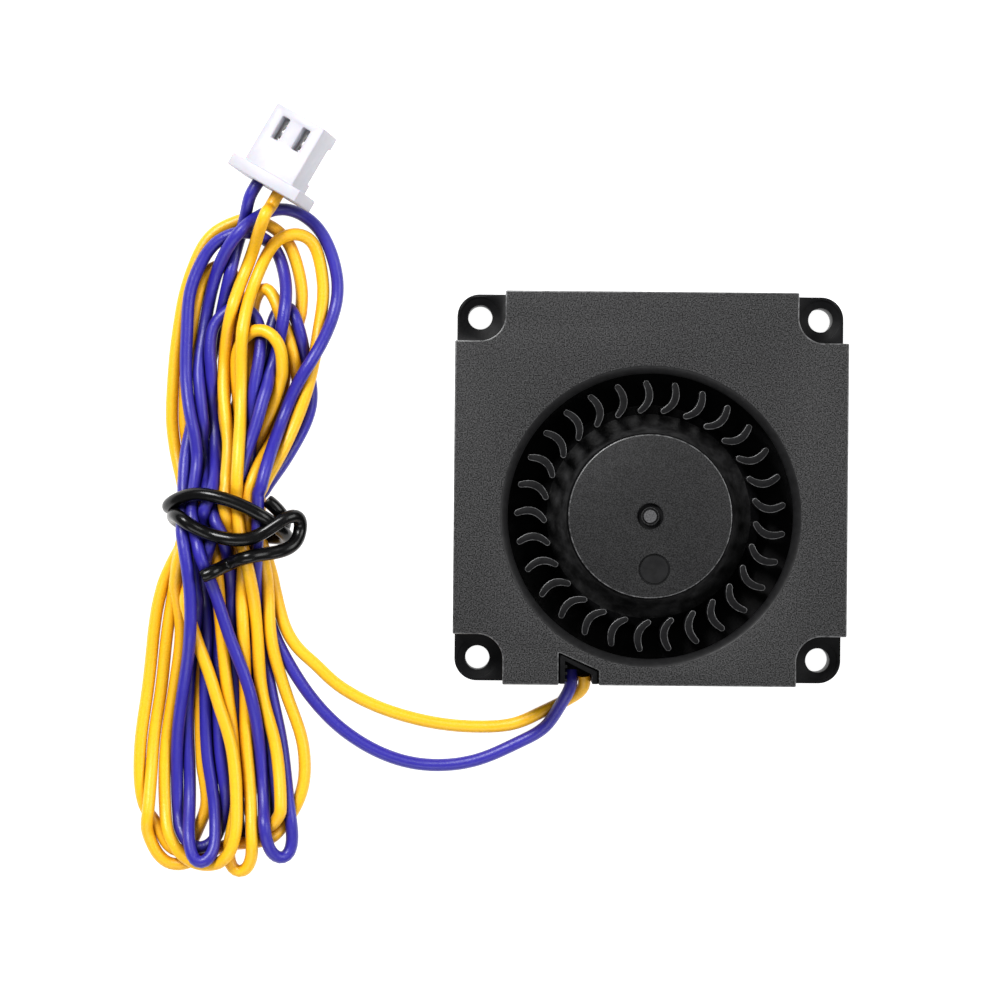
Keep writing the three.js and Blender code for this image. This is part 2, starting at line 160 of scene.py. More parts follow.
def spread(points, step):
    """Points a given distance apart on a smooth curve through the given ones."""
    pts = np.array(points, float)
    pts = np.vstack([2 * pts[:1] - pts[1:2], pts, 2 * pts[-1:] - pts[-2:-1]])
    fine = []
    for a, b, c, d in zip(pts[:-3], pts[1:-2], pts[2:-1], pts[3:]):
        t1 = math.sqrt(max(np.linalg.norm(b - a), 1e-6))
        t2 = t1 + math.sqrt(max(np.linalg.norm(c - b), 1e-6))
        t3 = t2 + math.sqrt(max(np.linalg.norm(d - c), 1e-6))
        for t in np.linspace(t1, t2, CURVE_STEPS, endpoint=False):
            ab = (t1 - t) / t1 * a + t / t1 * b
            bc = (t2 - t) / (t2 - t1) * b + (t - t1) / (t2 - t1) * c
            cd = (t3 - t) / (t3 - t2) * c + (t - t2) / (t3 - t2) * d
            abc = (t2 - t) / t2 * ab + t / t2 * bc
            bcd = (t3 - t) / (t3 - t1) * bc + (t - t1) / (t3 - t1) * cd
            fine.append((t2 - t) / (t2 - t1) * abc + (t - t1) / (t2 - t1) * bcd)
    fine.append(pts[-2])
    return respaced(np.array(fine), step)


def respaced(line, step):
    """The same line with its points a given distance apart."""
    along = np.concatenate([[0.0], np.cumsum(np.linalg.norm(np.diff(line, axis=0), axis=1))])
    count = max(2, int(round(along[-1] / step)) + 1)
    wanted = np.linspace(0.0, along[-1], count)
    return np.column_stack([np.interp(wanted, along, line[:, k]) for k in range(line.shape[1])])


def prism(outline, z0, z1):
    """A solid with the given outline between two heights."""
    bm = bmesh.new()
    low = [bm.verts.new((p[0], p[1], z0)) for p in outline]
    high = [bm.verts.new((p[0], p[1], z1)) for p in outline]
    bm.faces.new(low[::-1])
    bm.faces.new(high)
    for i in range(len(outline)):
        j = (i + 1) % len(outline)
        bm.faces.new((low[i], low[j], high[j], high[i]))
    return bm


def box(x0, y0, z0, x1, y1, z1):
    return prism([(x0, y0), (x1, y0), (x1, y1), (x0, y1)], z0, z1)


def lathe(profile, sides, x=0.0, y=AXIS_Y):
    """Turns a closed profile of (r, z) about a vertical axis. r of 0 sits on the axis."""
    bm = bmesh.new()
    rings = []
    for r, z in profile:
        if r < 1e-6:
            rings.append([bm.verts.new((x, y, z))])
        else:
            rings.append([bm.verts.new((x + r * math.cos(2 * math.pi * i / sides),
                                        y + r * math.sin(2 * math.pi * i / sides), z))
                          for i in range(sides)])
    for a, b in zip(rings, rings[1:] + rings[:1]):
        if len(a) == 1 and len(b) == 1:
            continue
        for i in range(sides):
            j = (i + 1) % sides
            loop = [a[i % len(a)], a[j % len(a)], b[j % len(b)], b[i % len(b)]]
            bm.faces.new(list(dict.fromkeys(loop)))
    return bm


def tube(line, radius, sides):
    """Sweeps a round section along a line and closes both ends. radius is one number or one per point."""
    bm = bmesh.new()
    line = np.asarray(line, float)
    radii = radius * np.ones(len(line)) if np.isscalar(radius) else np.asarray(radius, float)
    tangent = np.gradient(line, axis=0)
    tangent /= np.linalg.norm(tangent, axis=1)[:, None]
    side = np.cross(tangent[0], [0.0, 0.0, 1.0])
    if np.linalg.norm(side) < 1e-3:
        side = np.array([1.0, 0.0, 0.0])
    rings = []
    for p, t, r in zip(line, tangent, radii):
        side = side - t * side.dot(t)
        side /= np.linalg.norm(side)
        up = np.cross(side, t)
        angles = 2 * math.pi * np.arange(sides) / sides
        circle = p + r * (np.cos(angles)[:, None] * side + np.sin(angles)[:, None] * up)
        rings.append([bm.verts.new(q) for q in circle])
    for a, b in zip(rings, rings[1:]):
        for i in range(sides):
            j = (i + 1) % sides
            bm.faces.new((a[i], a[j], b[j], b[i]))
    bm.faces.new(rings[0][::-1])
    bm.faces.new(rings[-1])
    return bm


def solid_object(bm):
    """A working object that holds a bmesh, for modifiers to act on."""
    bmesh.ops.recalc_face_normals(bm, faces=bm.faces)
    mesh = bpy.data.meshes.new("work")
    bm.to_mesh(mesh)
    bm.free()
    work = bpy.data.objects.new("work", mesh)
    bpy.context.scene.collection.objects.link(work)
    return work


def evaluated(work):
    """The bmesh of an object with its modifiers, and the object is gone."""
    graph = bpy.context.evaluated_depsgraph_get()
    graph.update()
    result = bmesh.new()
    result.from_mesh(work.evaluated_get(graph).to_mesh())
    data = work.data
    bpy.data.objects.remove(work)
    bpy.data.meshes.remove(data)
    return result


def combined(base, cutters, operation):
    """Joins or cuts a bmesh by others, one after another."""
    work = solid_object(base)
    tools = []
    for cutter in cutters:
        tool = solid_object(cutter)
        tool.hide_render = True
        tools.append(tool)
        step = work.modifiers.new("boolean", "BOOLEAN")
        step.operation = operation
        step.solver = "EXACT"
        step.object = tool
    result = evaluated(work)
    for tool in tools:
        data = tool.data
        bpy.data.objects.remove(tool)
        bpy.data.meshes.remove(data)
    bmesh.ops.remove_doubles(result, verts=result.verts, dist=WELD)
    return result


def bevelled(bm, width, segments=2, angle_deg=38.0):
    """Breaks the sharp edges of a solid."""
    bmesh.ops.dissolve_limit(bm, angle_limit=math.radians(0.4), verts=bm.verts, edges=bm.edges)
    work = solid_object(bm)
    step = work.modifiers.new("bevel", "BEVEL")
    step.width = width
    step.segments = segments
    step.limit_method = "ANGLE"
    step.angle_limit = math.radians(angle_deg)
    step.use_clamp_overlap = True
    step.miter_outer = "MITER_ARC"
    return evaluated(work)


# ---- material helpers


# The colour sockets of a mix node, and how many waves a wave texture at scale 1 has in one unit.
MIX_FAC, MIX_A, MIX_B, MIX_RESULT = 0, 6, 7, 2
WAVES_PER_UNIT = 3.2


class Paint:
    """A Principled material built up node by node. Lengths are in millimetres.

    A factor is a socket, or a tuple that stands for noise of that size and detail.
    """

    def __init__(self, name, color, roughness, metallic=0.0, **sockets):
        self.mat = bpy.data.materials.new(name)
        self.mat.use_nodes = True
        self.tree = self.mat.node_tree
        self.shader = self.tree.nodes["Principled BSDF"]
        self.color = color
        self.shader.inputs["Base Color"].default_value = (*color, 1.0)
        self.shader.inputs["Roughness"].default_value = roughness
        self.shader.inputs["Metallic"].default_value = metallic
        for key, value in sockets.items():
            self.shader.inputs[key.replace("_", " ")].default_value = value
        self.coords = self.node("ShaderNodeTexCoord").outputs["Object"]
        self.height = None
        self.tint = None

    def node(self, kind, **values):
        made = self.tree.nodes.new(kind)
        for key, value in values.items():
            if hasattr(made, key):
                setattr(made, key, value)
            else:
                made.inputs[key.replace("_", " ")].default_value = value
        return made

    def link(self, a, b):
        self.tree.links.new(a, b)

    def mapped(self, scale=(1.0, 1.0, 1.0), turn=(0.0, 0.0, 0.0)):
        mapping = self.node("ShaderNodeMapping")
        mapping.inputs["Scale"].default_value = scale
        mapping.inputs["Rotation"].default_value = turn
        self.link(self.coords, mapping.inputs["Vector"])
        return mapping.outputs["Vector"]

    def noise(self, size, detail=3.0, rough=0.55, vector=None):
        made = self.node("ShaderNodeTexNoise", Scale=1.0 / (size * MM), Detail=detail, Roughness=rough)
        self.link(vector or self.coords, made.inputs["Vector"])
        return made.outputs["Fac"]

    def waves(self, pitch, distortion, vector=None):
        """Bands across Z that repeat every pitch millimetres."""
        made = self.node("ShaderNodeTexWave", bands_direction="Z", Distortion=distortion,
                         Scale=1.0 / (WAVES_PER_UNIT * pitch * MM))
        self.link(vector or self.coords, made.inputs["Vector"])
        return made.outputs["Fac"]

    def factor(self, fac):
        return self.noise(*fac) if isinstance(fac, tuple) else fac

    def ramp(self, fac, stops):
        made = self.node("ShaderNodeValToRGB")
        elements = made.color_ramp.elements
        while len(elements) < len(stops):
            elements.new(0.5)
        for element, (at, value) in zip(elements, stops):
            element.position = at
            element.color = (value, value, value, 1.0) if np.isscalar(value) else (*value, 1.0)
        self.link(self.factor(fac), made.inputs["Fac"])
        return made.outputs["Color"]

    def mixed(self, blend):
        """A node that mixes something into the colour so far."""
        mix = self.node("ShaderNodeMix", data_type="RGBA", blend_type=blend)
        if self.tint is None:
            mix.inputs[MIX_A].default_value = (*self.color, 1.0)
        else:
            self.link(self.tint, mix.inputs[MIX_A])
        self.tint = mix.outputs[MIX_RESULT]
        self.link(self.tint, self.shader.inputs["Base Color"])
        return mix

    def vary(self, fac, low, high, start=0.25, end=0.75):
        """Multiplies the colour by a factor that runs from low to high with fac."""
        mix = self.mixed("MULTIPLY")
        mix.inputs[MIX_FAC].default_value = 1.0
        self.link(self.ramp(fac, [(start, low), (end, high)]), mix.inputs[MIX_B])
        return self

    def patch(self, fac, color, start=0.5, end=0.6):
        """Lays another colour over the surface where fac is high."""
        mix = self.mixed("MIX")
        self.link(self.ramp(fac, [(start, 0.0), (end, 1.0)]), mix.inputs[MIX_FAC])
        mix.inputs[MIX_B].default_value = (*color, 1.0)
        return self

    def painted_crevice_shade(self, reach, color, open_at=0.8):
        """Painted shade: darkens the colour where other surfaces stand within reach millimetres of it, as
        in the creases between wires.
        """
        near = self.node("ShaderNodeAmbientOcclusion", Distance=reach * MM, samples=6)
        return self.vary(near.outputs["AO"], color, (1.0, 1.0, 1.0), 0.1, open_at)

    def rough(self, fac, low, high):
        """Lets the roughness run from low to high with fac."""
        made = self.node("ShaderNodeMapRange", From_Min=0.25, From_Max=0.75, To_Min=low, To_Max=high)
        self.link(self.factor(fac), made.inputs["Value"])
        self.link(made.outputs["Result"], self.shader.inputs["Roughness"])
        return self

    def bump(self, fac, depth, strength=1.0):
        """Raises the surface by depth millimetres where fac is 1."""
        made = self.node("ShaderNodeBump", Strength=strength, Distance=depth * MM)
        self.link(self.factor(fac), made.inputs["Height"])
        if self.height is not None:
            self.link(self.height, made.inputs["Normal"])
        self.height = made.outputs["Normal"]
        self.link(self.height, self.shader.inputs["Normal"])
        return self


def cover_plastic():
    paint = Paint("cover_plastic", (0.0225, 0.0225, 0.023), 0.62, Specular_IOR_Level=0.22)
    grain = paint.noise(0.13, 1.0, 0.5)
    paint.vary(grain, 0.0, 2.6, 0.33, 0.68).vary((0.5, 3.0), 0.9, 1.08)
    paint.vary((9.0, 2.0), 0.95, 1.05)
    paint.rough((0.25, 2.0), 0.5, 0.78)
    return paint.bump(grain, 0.035).bump((0.45, 2.0), 0.012).mat


def housing_plastic():
    paint = Paint("housing_plastic", (0.0045, 0.0045, 0.005), 0.5, Specular_IOR_Level=0.12)
    paint.vary((0.4, 3.0), 0.8, 1.2)
    paint.rough((3.0, 4.0), 0.34, 0.52)
    return paint.bump((0.3, 2.0), 0.006).bump((2.5, 2.0), 0.02).mat


def impeller_plastic():
    paint = Paint("impeller_plastic", (0.0045, 0.0045, 0.005), 0.5, Specular_IOR_Level=0.12)
    paint.vary((0.3, 3.0), 0.75, 1.25).vary((2.5, 3.0), 0.85, 1.15)
    paint.rough((1.2, 4.0), 0.42, 0.62)
    return paint.bump((0.18, 2.0), 0.008).bump((1.6, 2.0), 0.015).mat


def hub_plastic():
    paint = Paint("hub_plastic", (0.0145, 0.0145, 0.015), 0.58, Specular_IOR_Level=0.2)
    grain = paint.noise(0.13, 1.0, 0.5)
    paint.vary(grain, 0.25, 1.8, 0.34, 0.66).vary((1.8, 3.0), 0.9, 1.1)
    paint.rough((0.8, 4.0), 0.46, 0.66)
    return paint.bump(grain, 0.02).bump((1.6, 2.0), 0.015).mat


# Painted light: a lighter copy of the impeller plastic for the wheel's sloped skirt, with big lighter and
# darker patches as painted sheen on it.
def skirt_painted_light():
    paint = Paint("skirt_painted_light", (0.02, 0.02, 0.0205), 0.42, Specular_IOR_Level=0.45)
    paint.vary((1.3, 4.0), 0.3, 1.6, 0.35, 0.65).vary((0.3, 3.0), 0.8, 1.2)
    paint.rough((1.6, 4.0), 0.32, 0.6)
    return paint.bump((0.2, 2.0), 0.008).bump((1.9, 2.0), 0.05).mat


# Smooth plastic for the inlet's inner wall and the hub's mark recess; its darker colour is painted shade in
# these hollows.
def painted_recess_shade():
    paint = Paint("painted_recess_shade", (0.009, 0.009, 0.0095), 0.4, Specular_IOR_Level=0.2)
    paint.vary((0.6, 3.0), 0.7, 1.3)
    paint.rough((1.0, 3.0), 0.34, 0.5)
    return paint.bump((0.3, 2.0), 0.006).mat


# Painted highlight: a lighter, glossier copy of the dark plastic with broken lighter streaks, laid on
# rounded top edges where they catch the light.
def painted_edge_highlight():
    paint = Paint("painted_edge_highlight", (0.07, 0.07, 0.072), 0.35, Specular_IOR_Level=0.5)
    paint.vary((0.5, 3.0), 0.2, 1.7, 0.35, 0.65)
    paint.rough((0.4, 3.0), 0.28, 0.5)
    return paint.bump((0.2, 2.0), 0.006).mat


def wire_pvc(name, color, shade, coat, crease_shade_color):
    """shade is a factor on the colour in random patches, and the last factor is painted shade between
    neighbouring wires, where less light reaches.
    """
    paint = Paint(name, color, 0.4, Specular_IOR_Level=0.5, Coat_Weight=coat, Coat_Roughness=0.28)
    paint.vary((0.22, 2.0), (0.9, 0.9, 0.93), (1.06, 1.06, 1.04))
    paint.vary((5.0, 2.0), shade, (1.0, 1.0, 1.0))
    # Painted shade: the colour darkens where wires lie close together.
    paint.painted_crevice_shade(3.0, crease_shade_color)
    paint.rough((0.6, 3.0), 0.34, 0.48)
    return paint.bump((0.17, 2.0), 0.03).bump((1.6, 2.0), 0.03).mat


def tie_pvc():
    paint = Paint("tie_plastic", (0.0015, 0.0015, 0.0017), 0.26, Specular_IOR_Level=0.3)
    paint.vary((0.5, 3.0), 0.8, 1.3)
    paint.rough((1.2, 4.0), 0.18, 0.3)
    return paint.bump((0.25, 3.0), 0.006).bump((3.0, 2.0), 0.03).mat


def white_nylon():
    paint = Paint("white_nylon", (0.53, 0.525, 0.58), 0.42, Subsurface_Weight=0.25, Subsurface_Scale=0.0006,
                  Specular_IOR_Level=0.45)
    paint.vary((1.5, 3.0), 0.97, 1.02)
    paint.rough((0.6, 3.0), 0.36, 0.5)
    return paint.bump((0.35, 2.0), 0.008).bump((2.0, 2.0), 0.02).mat


def metal(name, color, roughness, stretch=(1.0, 1.0, 1.0), grain=0.15):
    paint = Paint(name, color, roughness, 1.0)
    brushed = paint.noise(grain, 3.0, 0.6, paint.mapped(stretch))
    paint.vary(brushed, 0.88, 1.08).vary((2.0, 3.0), 0.94, 1.04)
    paint.rough(brushed, roughness * 0.8, roughness * 1.3)
    return paint.bump(brushed, 0.006).mat


def plain_plastic(name, color, roughness, grain=0.4, depth=0.01):
    paint = Paint(name, color, roughness)
    paint.vary((grain, 3.0), 0.88, 1.1).vary((grain * 8, 2.0), 0.94, 1.04)
    paint.rough((grain * 3, 3.0), roughness * 0.85, roughness * 1.2)
    return paint.bump((grain, 2.0), depth).mat


def board_mask():
    paint = Paint("board", (0.01, 0.1, 0.035), 0.35, Coat_Weight=0.4, Coat_Roughness=0.2)
    paint.vary((1.5, 2.0), 0.85, 1.1)
    tracks = paint.node("ShaderNodeTexBrick", Scale=900.0, offset=0.5)
    paint.link(paint.coords, tracks.inputs["Vector"])
    paint.patch(tracks.outputs["Fac"], (0.02, 0.16, 0.06), 0.4, 0.6)
    return paint.bump(tracks.outputs["Fac"], 0.02).bump((0.3,), 0.006).mat


def laminations():
    paint = Paint("lamination_steel", (0.34, 0.35, 0.37), 0.45, 1.0)
    sheets = paint.waves(0.68, 0.3)
    paint.vary(sheets, 0.55, 1.05)
    return paint.bump(sheets, 0.03).bump((0.3,), 0.01).mat


def windings():
    paint = Paint("copper", (0.6, 0.2, 0.07), 0.3, 1.0, Coat_Weight=0.5, Coat_Roughness=0.15)
    turns = paint.waves(0.14, 0.6, paint.mapped(turn=(0.6, 0.6, 0.0)))
    paint.vary(turns, 0.45, 1.05)
    return paint.bump(turns, 0.05).mat


def label_foil():
    paint = Paint("label_foil", (0.62, 0.63, 0.65), 0.36, 0.85)
    paint.vary(paint.noise(0.12, 3.0, 0.6, paint.mapped((0.05, 1.0, 1.0))), 0.9, 1.05)
    paint.rough((3.0, 3.0), 0.3, 0.46)
    return paint.bump((1.8, 2.0), 0.012).mat


def ferrite():
    paint = Paint("magnet", (0.032, 0.03, 0.029), 0.7)
    paint.vary((0.15, 3.0), 0.7, 1.4)
    return paint.bump((0.12, 2.0), 0.012).mat


MAT = {
    "cover_plastic": cover_plastic(),
    "housing_plastic": housing_plastic(),
    "impeller_plastic": impeller_plastic(),
    "hub_plastic": hub_plastic(),
    "skirt_painted_light": skirt_painted_light(),
    "painted_recess_shade": painted_recess_shade(),
    "painted_edge_highlight": painted_edge_highlight(),
    # The last colour of each wire is the painted shade in the creases between wires.
    "blue_wire": wire_pvc("blue_wire", (0.026, 0.018, 0.36), (0.8, 0.8, 0.85), 0.12, (0.12, 0.12, 0.16)),
    "yellow_wire": wire_pvc("yellow_wire", (0.98, 0.54, 0.006), (1.0, 0.93, 0.9), 0.06, (0.5, 0.32, 0.3)),
    "tie_plastic": tie_pvc(),
    "white_nylon": white_nylon(),
    "label_foil": label_foil(),
    "brass": metal("brass", (0.72, 0.55, 0.24), 0.28, (1.0, 1.0, 12.0)),
    "bronze": metal("bronze", (0.46, 0.28, 0.12), 0.5),
    "steel": metal("steel", (0.16, 0.16, 0.165), 0.42, (1.0, 1.0, 10.0)),
    "tin": metal("tin", (0.86, 0.86, 0.85), 0.42),
    "wear_plastic": plain_plastic("wear_plastic", (0.78, 0.76, 0.7), 0.45),
    "component_black": plain_plastic("component_black", (0.016, 0.016, 0.017), 0.45, 0.12, 0.006),
    "ceramic": plain_plastic("ceramic", (0.4, 0.27, 0.13), 0.35, 0.2),
    "insulator": plain_plastic("insulator", (0.68, 0.62, 0.5), 0.5),
    "board": board_mask(),
    "lamination_steel": laminations(),
    "copper": windings(),
    "magnet": ferrite(),
}

# ---- the two wires

# Where each wire lies between the fan and the hank, mm. The same points as the CAD lead tubes.
YELLOW_LEAD = [
    (-6.48, -19.3, 3.0), (-6.5, -20.4, 2.7), (-8.5, -22.1, 0.9), (-11.0, -23.4, 0.75), (-13.5, -24.5, 0.75),
    (-17.4, -24.8, 0.75), (-22.5, -24.3, 0.75), (-27.7, -22.8, 0.75), (-31.9, -20.6, 0.8),
    (-34.6, -18.4, 0.9), (-36.6, -17.0, 0.9), (-38.4, -14.8, 1.2), (-39.4, -11.6, 1.7), (-39.8, -7.6, 2.1),
]
BLUE_LEAD = [
    (-7.82, -18.7, 3.3), (-7.85, -20.3, 3.4), (-8.9, -22.3, 2.5), (-10.5, -24.7, 1.5), (-13.2, -26.3, 0.85),
    (-17.4, -28.2, 0.75), (-21.0, -28.8, 0.75), (-24.6, -28.5, 0.75), (-28.2, -27.2, 0.75),
    (-31.9, -24.8, 0.75), (-34.9, -21.8, 0.75), (-36.9, -19.0, 0.8), (-38.5, -16.0, 1.0),
    (-39.4, -12.6, 1.6), (-39.9, -7.6, 2.1),
]

# The folds of the hank. A fold's legs are given by their x at fixed stations going away from the tie,
# and its tip by a few points between the legs. level is how many wires it lies above the table.
ABOVE = (3.0, 9.0, 15.0, 20.5, 25.0)
BELOW = (-9.0, -15.0, -21.0, -27.0, -33.0)
LEVEL_RISE = 1.3
WAIST_Y = -1.0


def fold(stations, left, tip, right, left_level, tip_level, right_level, waist=None):
    """waist gives the x of both legs where they go under the tie."""
    if waist:
        stations = (WAIST_Y,) + stations
        left = waist[:1] + left
        right = waist[1:] + right
    return dict(stations=stations, left=left, tip=tip, right=right,
                levels=(left_level, tip_level, right_level))


B_UP_WIDE = fold(
    ABOVE, (-45.9, -46.5, -46.2, -45.2, -43.2), [(-40.0, 28.1), (-37.8, 28.6), (-35.5, 27.6)],
    (-39.4, -36.8, -33.8, -32.5, -33.5), (5.0, 3.0), 2.0, (6.5, 3.5), (-45.2, -40.5))
B_UP_LEFT = fold(
    ABOVE, (-46.7, -47.3, -47.6, -47.5, -45.4), [(-43.7, 26.1), (-41.6, 26.5), (-40.2, 25.7)],
    (-41.2, -40.3, -38.2, -37.7, -39.2), (4.5, 2.2), 2.0, (3.5, 1.9), (-46.4, -41.3))
B_UP_NEAR = fold(
    ABOVE, (-44.4, -45.5, -45.6), [(-44.2, 17.5), (-42.4, 18.6), (-41.0, 17.7)],
    (-40.9, -40.4, -40.0), 5.5, 3.0, 2.0, (-43.8, -40.9))
B_UP_RIGHT = fold(
    ABOVE, (-41.6, -40.8, -39.7), [(-39.0, 18.0), (-37.9, 18.6), (-37.0, 17.2)],
    (-37.4, -34.9, -36.0), 1.0, 1.0, 2.0, (-41.1, -39.6))
B_UP_LOW = fold(
    ABOVE, (-42.6, -42.1), [(-41.6, 12.8), (-40.9, 13.8), (-40.1, 12.8)],
    (-40.5, -39.8), 0.0, 0.0, 0.0, (-43.2, -41.5))
B_DOWN_A = fold(
    BELOW, (-46.6, -46.8, -47.4, -48.0, -48.5), [(-48.0, -36.2), (-46.6, -37.7), (-44.8, -37.4)],
    (-45.1, -44.8, -44.4, -43.8, -43.2), 6.5, 3.0, 1.5)
B_DOWN_B = fold(
    BELOW, (-46.2, -46.2, -46.4, -46.9, -47.3), [(-47.2, -36.9), (-46.3, -39.2), (-44.9, -38.7)],
    (-45.5, -45.3, -45.2, -44.8, -44.0), 5.5, 4.5, 2.0)
B_DOWN_C = fold(
    BELOW, (-44.8, -43.5, -41.4, -40.1, -39.2),
    [(-39.0, -36.4), (-38.6, -37.9), (-37.8, -38.5), (-37.0, -38.0), (-36.8, -36.2)],
    (-40.5, -39.9, -39.3, -38.0, -37.2), 6.5, 3.5, 2.5)
B_DOWN_D = fold(
    BELOW, (-43.0, -42.6, -42.7, -42.2, -42.1), [(-41.9, -36.3), (-40.6, -37.5), (-39.0, -35.9)],
    (-42.1, -41.4, -40.4, -39.2, -38.2), 3.0, 0.0, 2.0)
B_DOWN_E = fold(
    BELOW, (-45.7, -45.2, -44.9, -44.6), [(-44.3, -30.3), (-43.7, -31.2), (-43.3, -30.2)],
    (-44.0, -43.8, -43.6, -43.4), 0.0, 0.0, 0.0)

Y_UP_INNER = fold(
    ABOVE, (-41.3, -41.5, -41.7, -40.9, -38.9), [(-37.7, 25.8), (-36.5, 26.1), (-35.4, 25.7)],
    (-37.9, -36.0, -34.6, -33.7, -34.7), (6.0, 3.4), 3.0, (4.0, 2.6), (-41.2, -39.7))
Y_UP_LEFT = fold(
    ABOVE, (-48.3, -48.4, -48.6, -47.8, -45.5), [(-43.5, 26.1), (-41.2, 26.7), (-38.9, 26.1)],
    (-40.6, -39.0, -37.3, -36.5, -37.6), (3.0, 0.0), 0.0, (2.6, 0.2), (-47.9, -41.0))
Y_UP_LOW = fold(
    ABOVE, (-47.5, -47.8, -47.3, -46.2), [(-45.3, 22.2), (-44.3, 22.7), (-43.2, 21.9)],
    (-42.5, -44.0, -42.8, -42.6), 1.0, 1.0, 2.0, (-47.2, -42.9))
Y_UP_ARCH = fold(
    ABOVE, (-41.2, -41.2, -41.2), [(-40.7, 19.4), (-39.6, 20.7), (-38.5, 19.4)],
    (-38.4, -36.3, -37.0), 1.0, 1.0, 1.5, (-41.1, -39.8))
Y_UP_BRIDGE = fold(
    ABOVE, (-42.0, -41.9), [(-41.4, 14.8), (-40.0, 16.2), (-38.6, 15.2)],
    (-40.7, -39.6), 2.0, 3.0, 2.0, (-41.8, -40.9))
Y_DOWN_TOP = fold(
    BELOW, (-47.9, -48.3, -49.0, -49.6, -49.5),
    [(-48.9, -36.3), (-47.6, -38.2), (-45.5, -38.9), (-43.5, -38.3), (-42.5, -36.3)],
    (-46.5, -46.2, -44.6, -42.7, -42.2), 6.5, 3.8, 5.5)
Y_DOWN_WIDE = fold(
    BELOW, (-48.7, -49.5, -50.1, -51.0, -51.3),
    [(-50.8, -36.4), (-49.7, -38.5), (-48.2, -39.1), (-46.2, -38.1), (-44.0, -36.7),
    (-41.6, -36.0), (-39.5, -35.7), (-37.7, -34.1), (-35.9, -31.4)],
    (-39.7, -39.0, -37.3, -35.5), 5.5, 1.0, 3.0)
Y_DOWN_OUTER = fold(
    BELOW, (-49.3, -50.7, -51.6, -52.1, -51.7),
    [(-50.5, -35.2), (-49.5, -37.3), (-48.2, -38.0), (-47.2, -37.0), (-46.3, -35.2)],
    (-45.7, -45.7, -45.9, -45.8, -45.3), 4.0, 2.0, 1.0)
Y_DOWN_SLIM = fold(
    BELOW, (-43.8, -43.9, -43.6, -42.8, -42.1),
    [(-42.5, -37.0), (-42.6, -38.8), (-41.9, -39.9), (-41.0, -39.6), (-40.5, -38.4),
    (-40.5, -36.6)],
    (-41.5, -41.3, -41.5, -41.4, -40.8), 4.0, 3.5, 4.5)
Y_DOWN_RIGHT = fold(
    BELOW, (-42.0, -41.8, -41.8, -41.7, -41.6),
    [(-41.3, -34.6), (-40.2, -35.9), (-38.8, -35.9), (-37.8, -34.8)],
    (-41.2, -41.0, -40.1, -38.1, -37.3), 1.5, 1.5, 4.5)

# Each wire's way through its folds, from the fan to the plug. The letter is the leg it enters by.
BLUE_ORDER = [
    (B_UP_RIGHT, "r"), (B_DOWN_E, "l"), (B_UP_NEAR, "r"), (B_DOWN_B, "l"), (B_UP_LEFT, "r"),
    (B_DOWN_C, "l"), (B_UP_WIDE, "r"), (B_DOWN_D, "l"), (B_UP_LOW, "r"), (B_DOWN_A, "r"),
]
YELLOW_ORDER = [
    (Y_UP_ARCH, "r"), (Y_DOWN_TOP, "r"), (Y_UP_BRIDGE, "l"), (Y_DOWN_OUTER, "r"), (Y_UP_LOW, "l"),
    (Y_DOWN_SLIM, "l"), (Y_UP_LEFT, "r"), (Y_DOWN_WIDE, "l"), (Y_UP_INNER, "r"), (Y_DOWN_RIGHT, "r"),
]

# The last stretch of each wire, from the tie to just before the plug: x, y and level.
BLUE_TAIL = [
    (-47.4, -1.0, 3.0), (-47.7, 3.0, 3.0), (-46.9, 9.0, 3.0), (-45.4, 15.0, 2.4), (-43.9, 20.5, 1.6),
    (-42.7, 25.0, 0.8), (-42.0, 27.2, 1.0),
]
YELLOW_TAIL = [
    (-42.0, -1.0, 6.5), (-42.7, 3.0, 6.5), (-44.0, 9.0, 6.5), (-43.7, 15.0, 6.5), (-42.5, 20.5, 6.0),
    (-40.8, 25.0, 5.2), (-39.6, 27.8, 4.2),
]

# How far into the plug each wire's last points lie.
PLUG_ENTRY = (-1.6, 0.4, 2.2)

# The tie, and the space under it that the bundle is gathered into.
TIE_Y = -3.3
GATHER_Y = TIE_Y - 0.9
TIE_LOW, TIE_HIGH = -6.0, -0.6
BUNDLE_LEFT, BUNDLE_RIGHT = -47.9, -40.1
BUNDLE_SIDE = -38.0
BUNDLE_TOP = 5.7

# How the wires settle.
RELAX_STEP = 0.5
ROUNDS, QUICK_ROUNDS = 260, 60
FALLING_SHARE = 0.88
FALL = 0.05
DRIFT_KEPT = 0.95
LINE_BEND, PLACE_BEND = 4.0, 20.0
START_TOP = 10.0
GATHER_SHARE = 0.6
WIRE_GAP = 0.02
PAIR_REACH = 0.9
PAIR_APART = 7
PAIR_ROUNDS = 10
PAIR_BLOCK = 400
FALLING_PUSHES, LAST_PUSHES = 5, 8
SIDEWAYS_PUSH = 0.4
PUSH_GAIN = 1.6
HELD_START, HELD_END = 4, 12
HELD_WEIGHT = 1e4

PLUG_AT = Vector((-39.45, 30.61, 3.8))
PLUG_TURN = (Matrix.Rotation(math.radians(-30.0), 4, "Z") @ Matrix.Rotation(math.radians(-15.0), 4, "Y"))


def in_plug(x, y, z):
    """A point given in the plug's own axes, y pointing from the flange to the mating end."""
    return tuple(PLUG_AT + PLUG_TURN @ Vector((x, y, z)))


def level_z(level):
    """The height of a wire that lies over so many others."""
    return WIRE_D / 2 + LEVEL_RISE * level


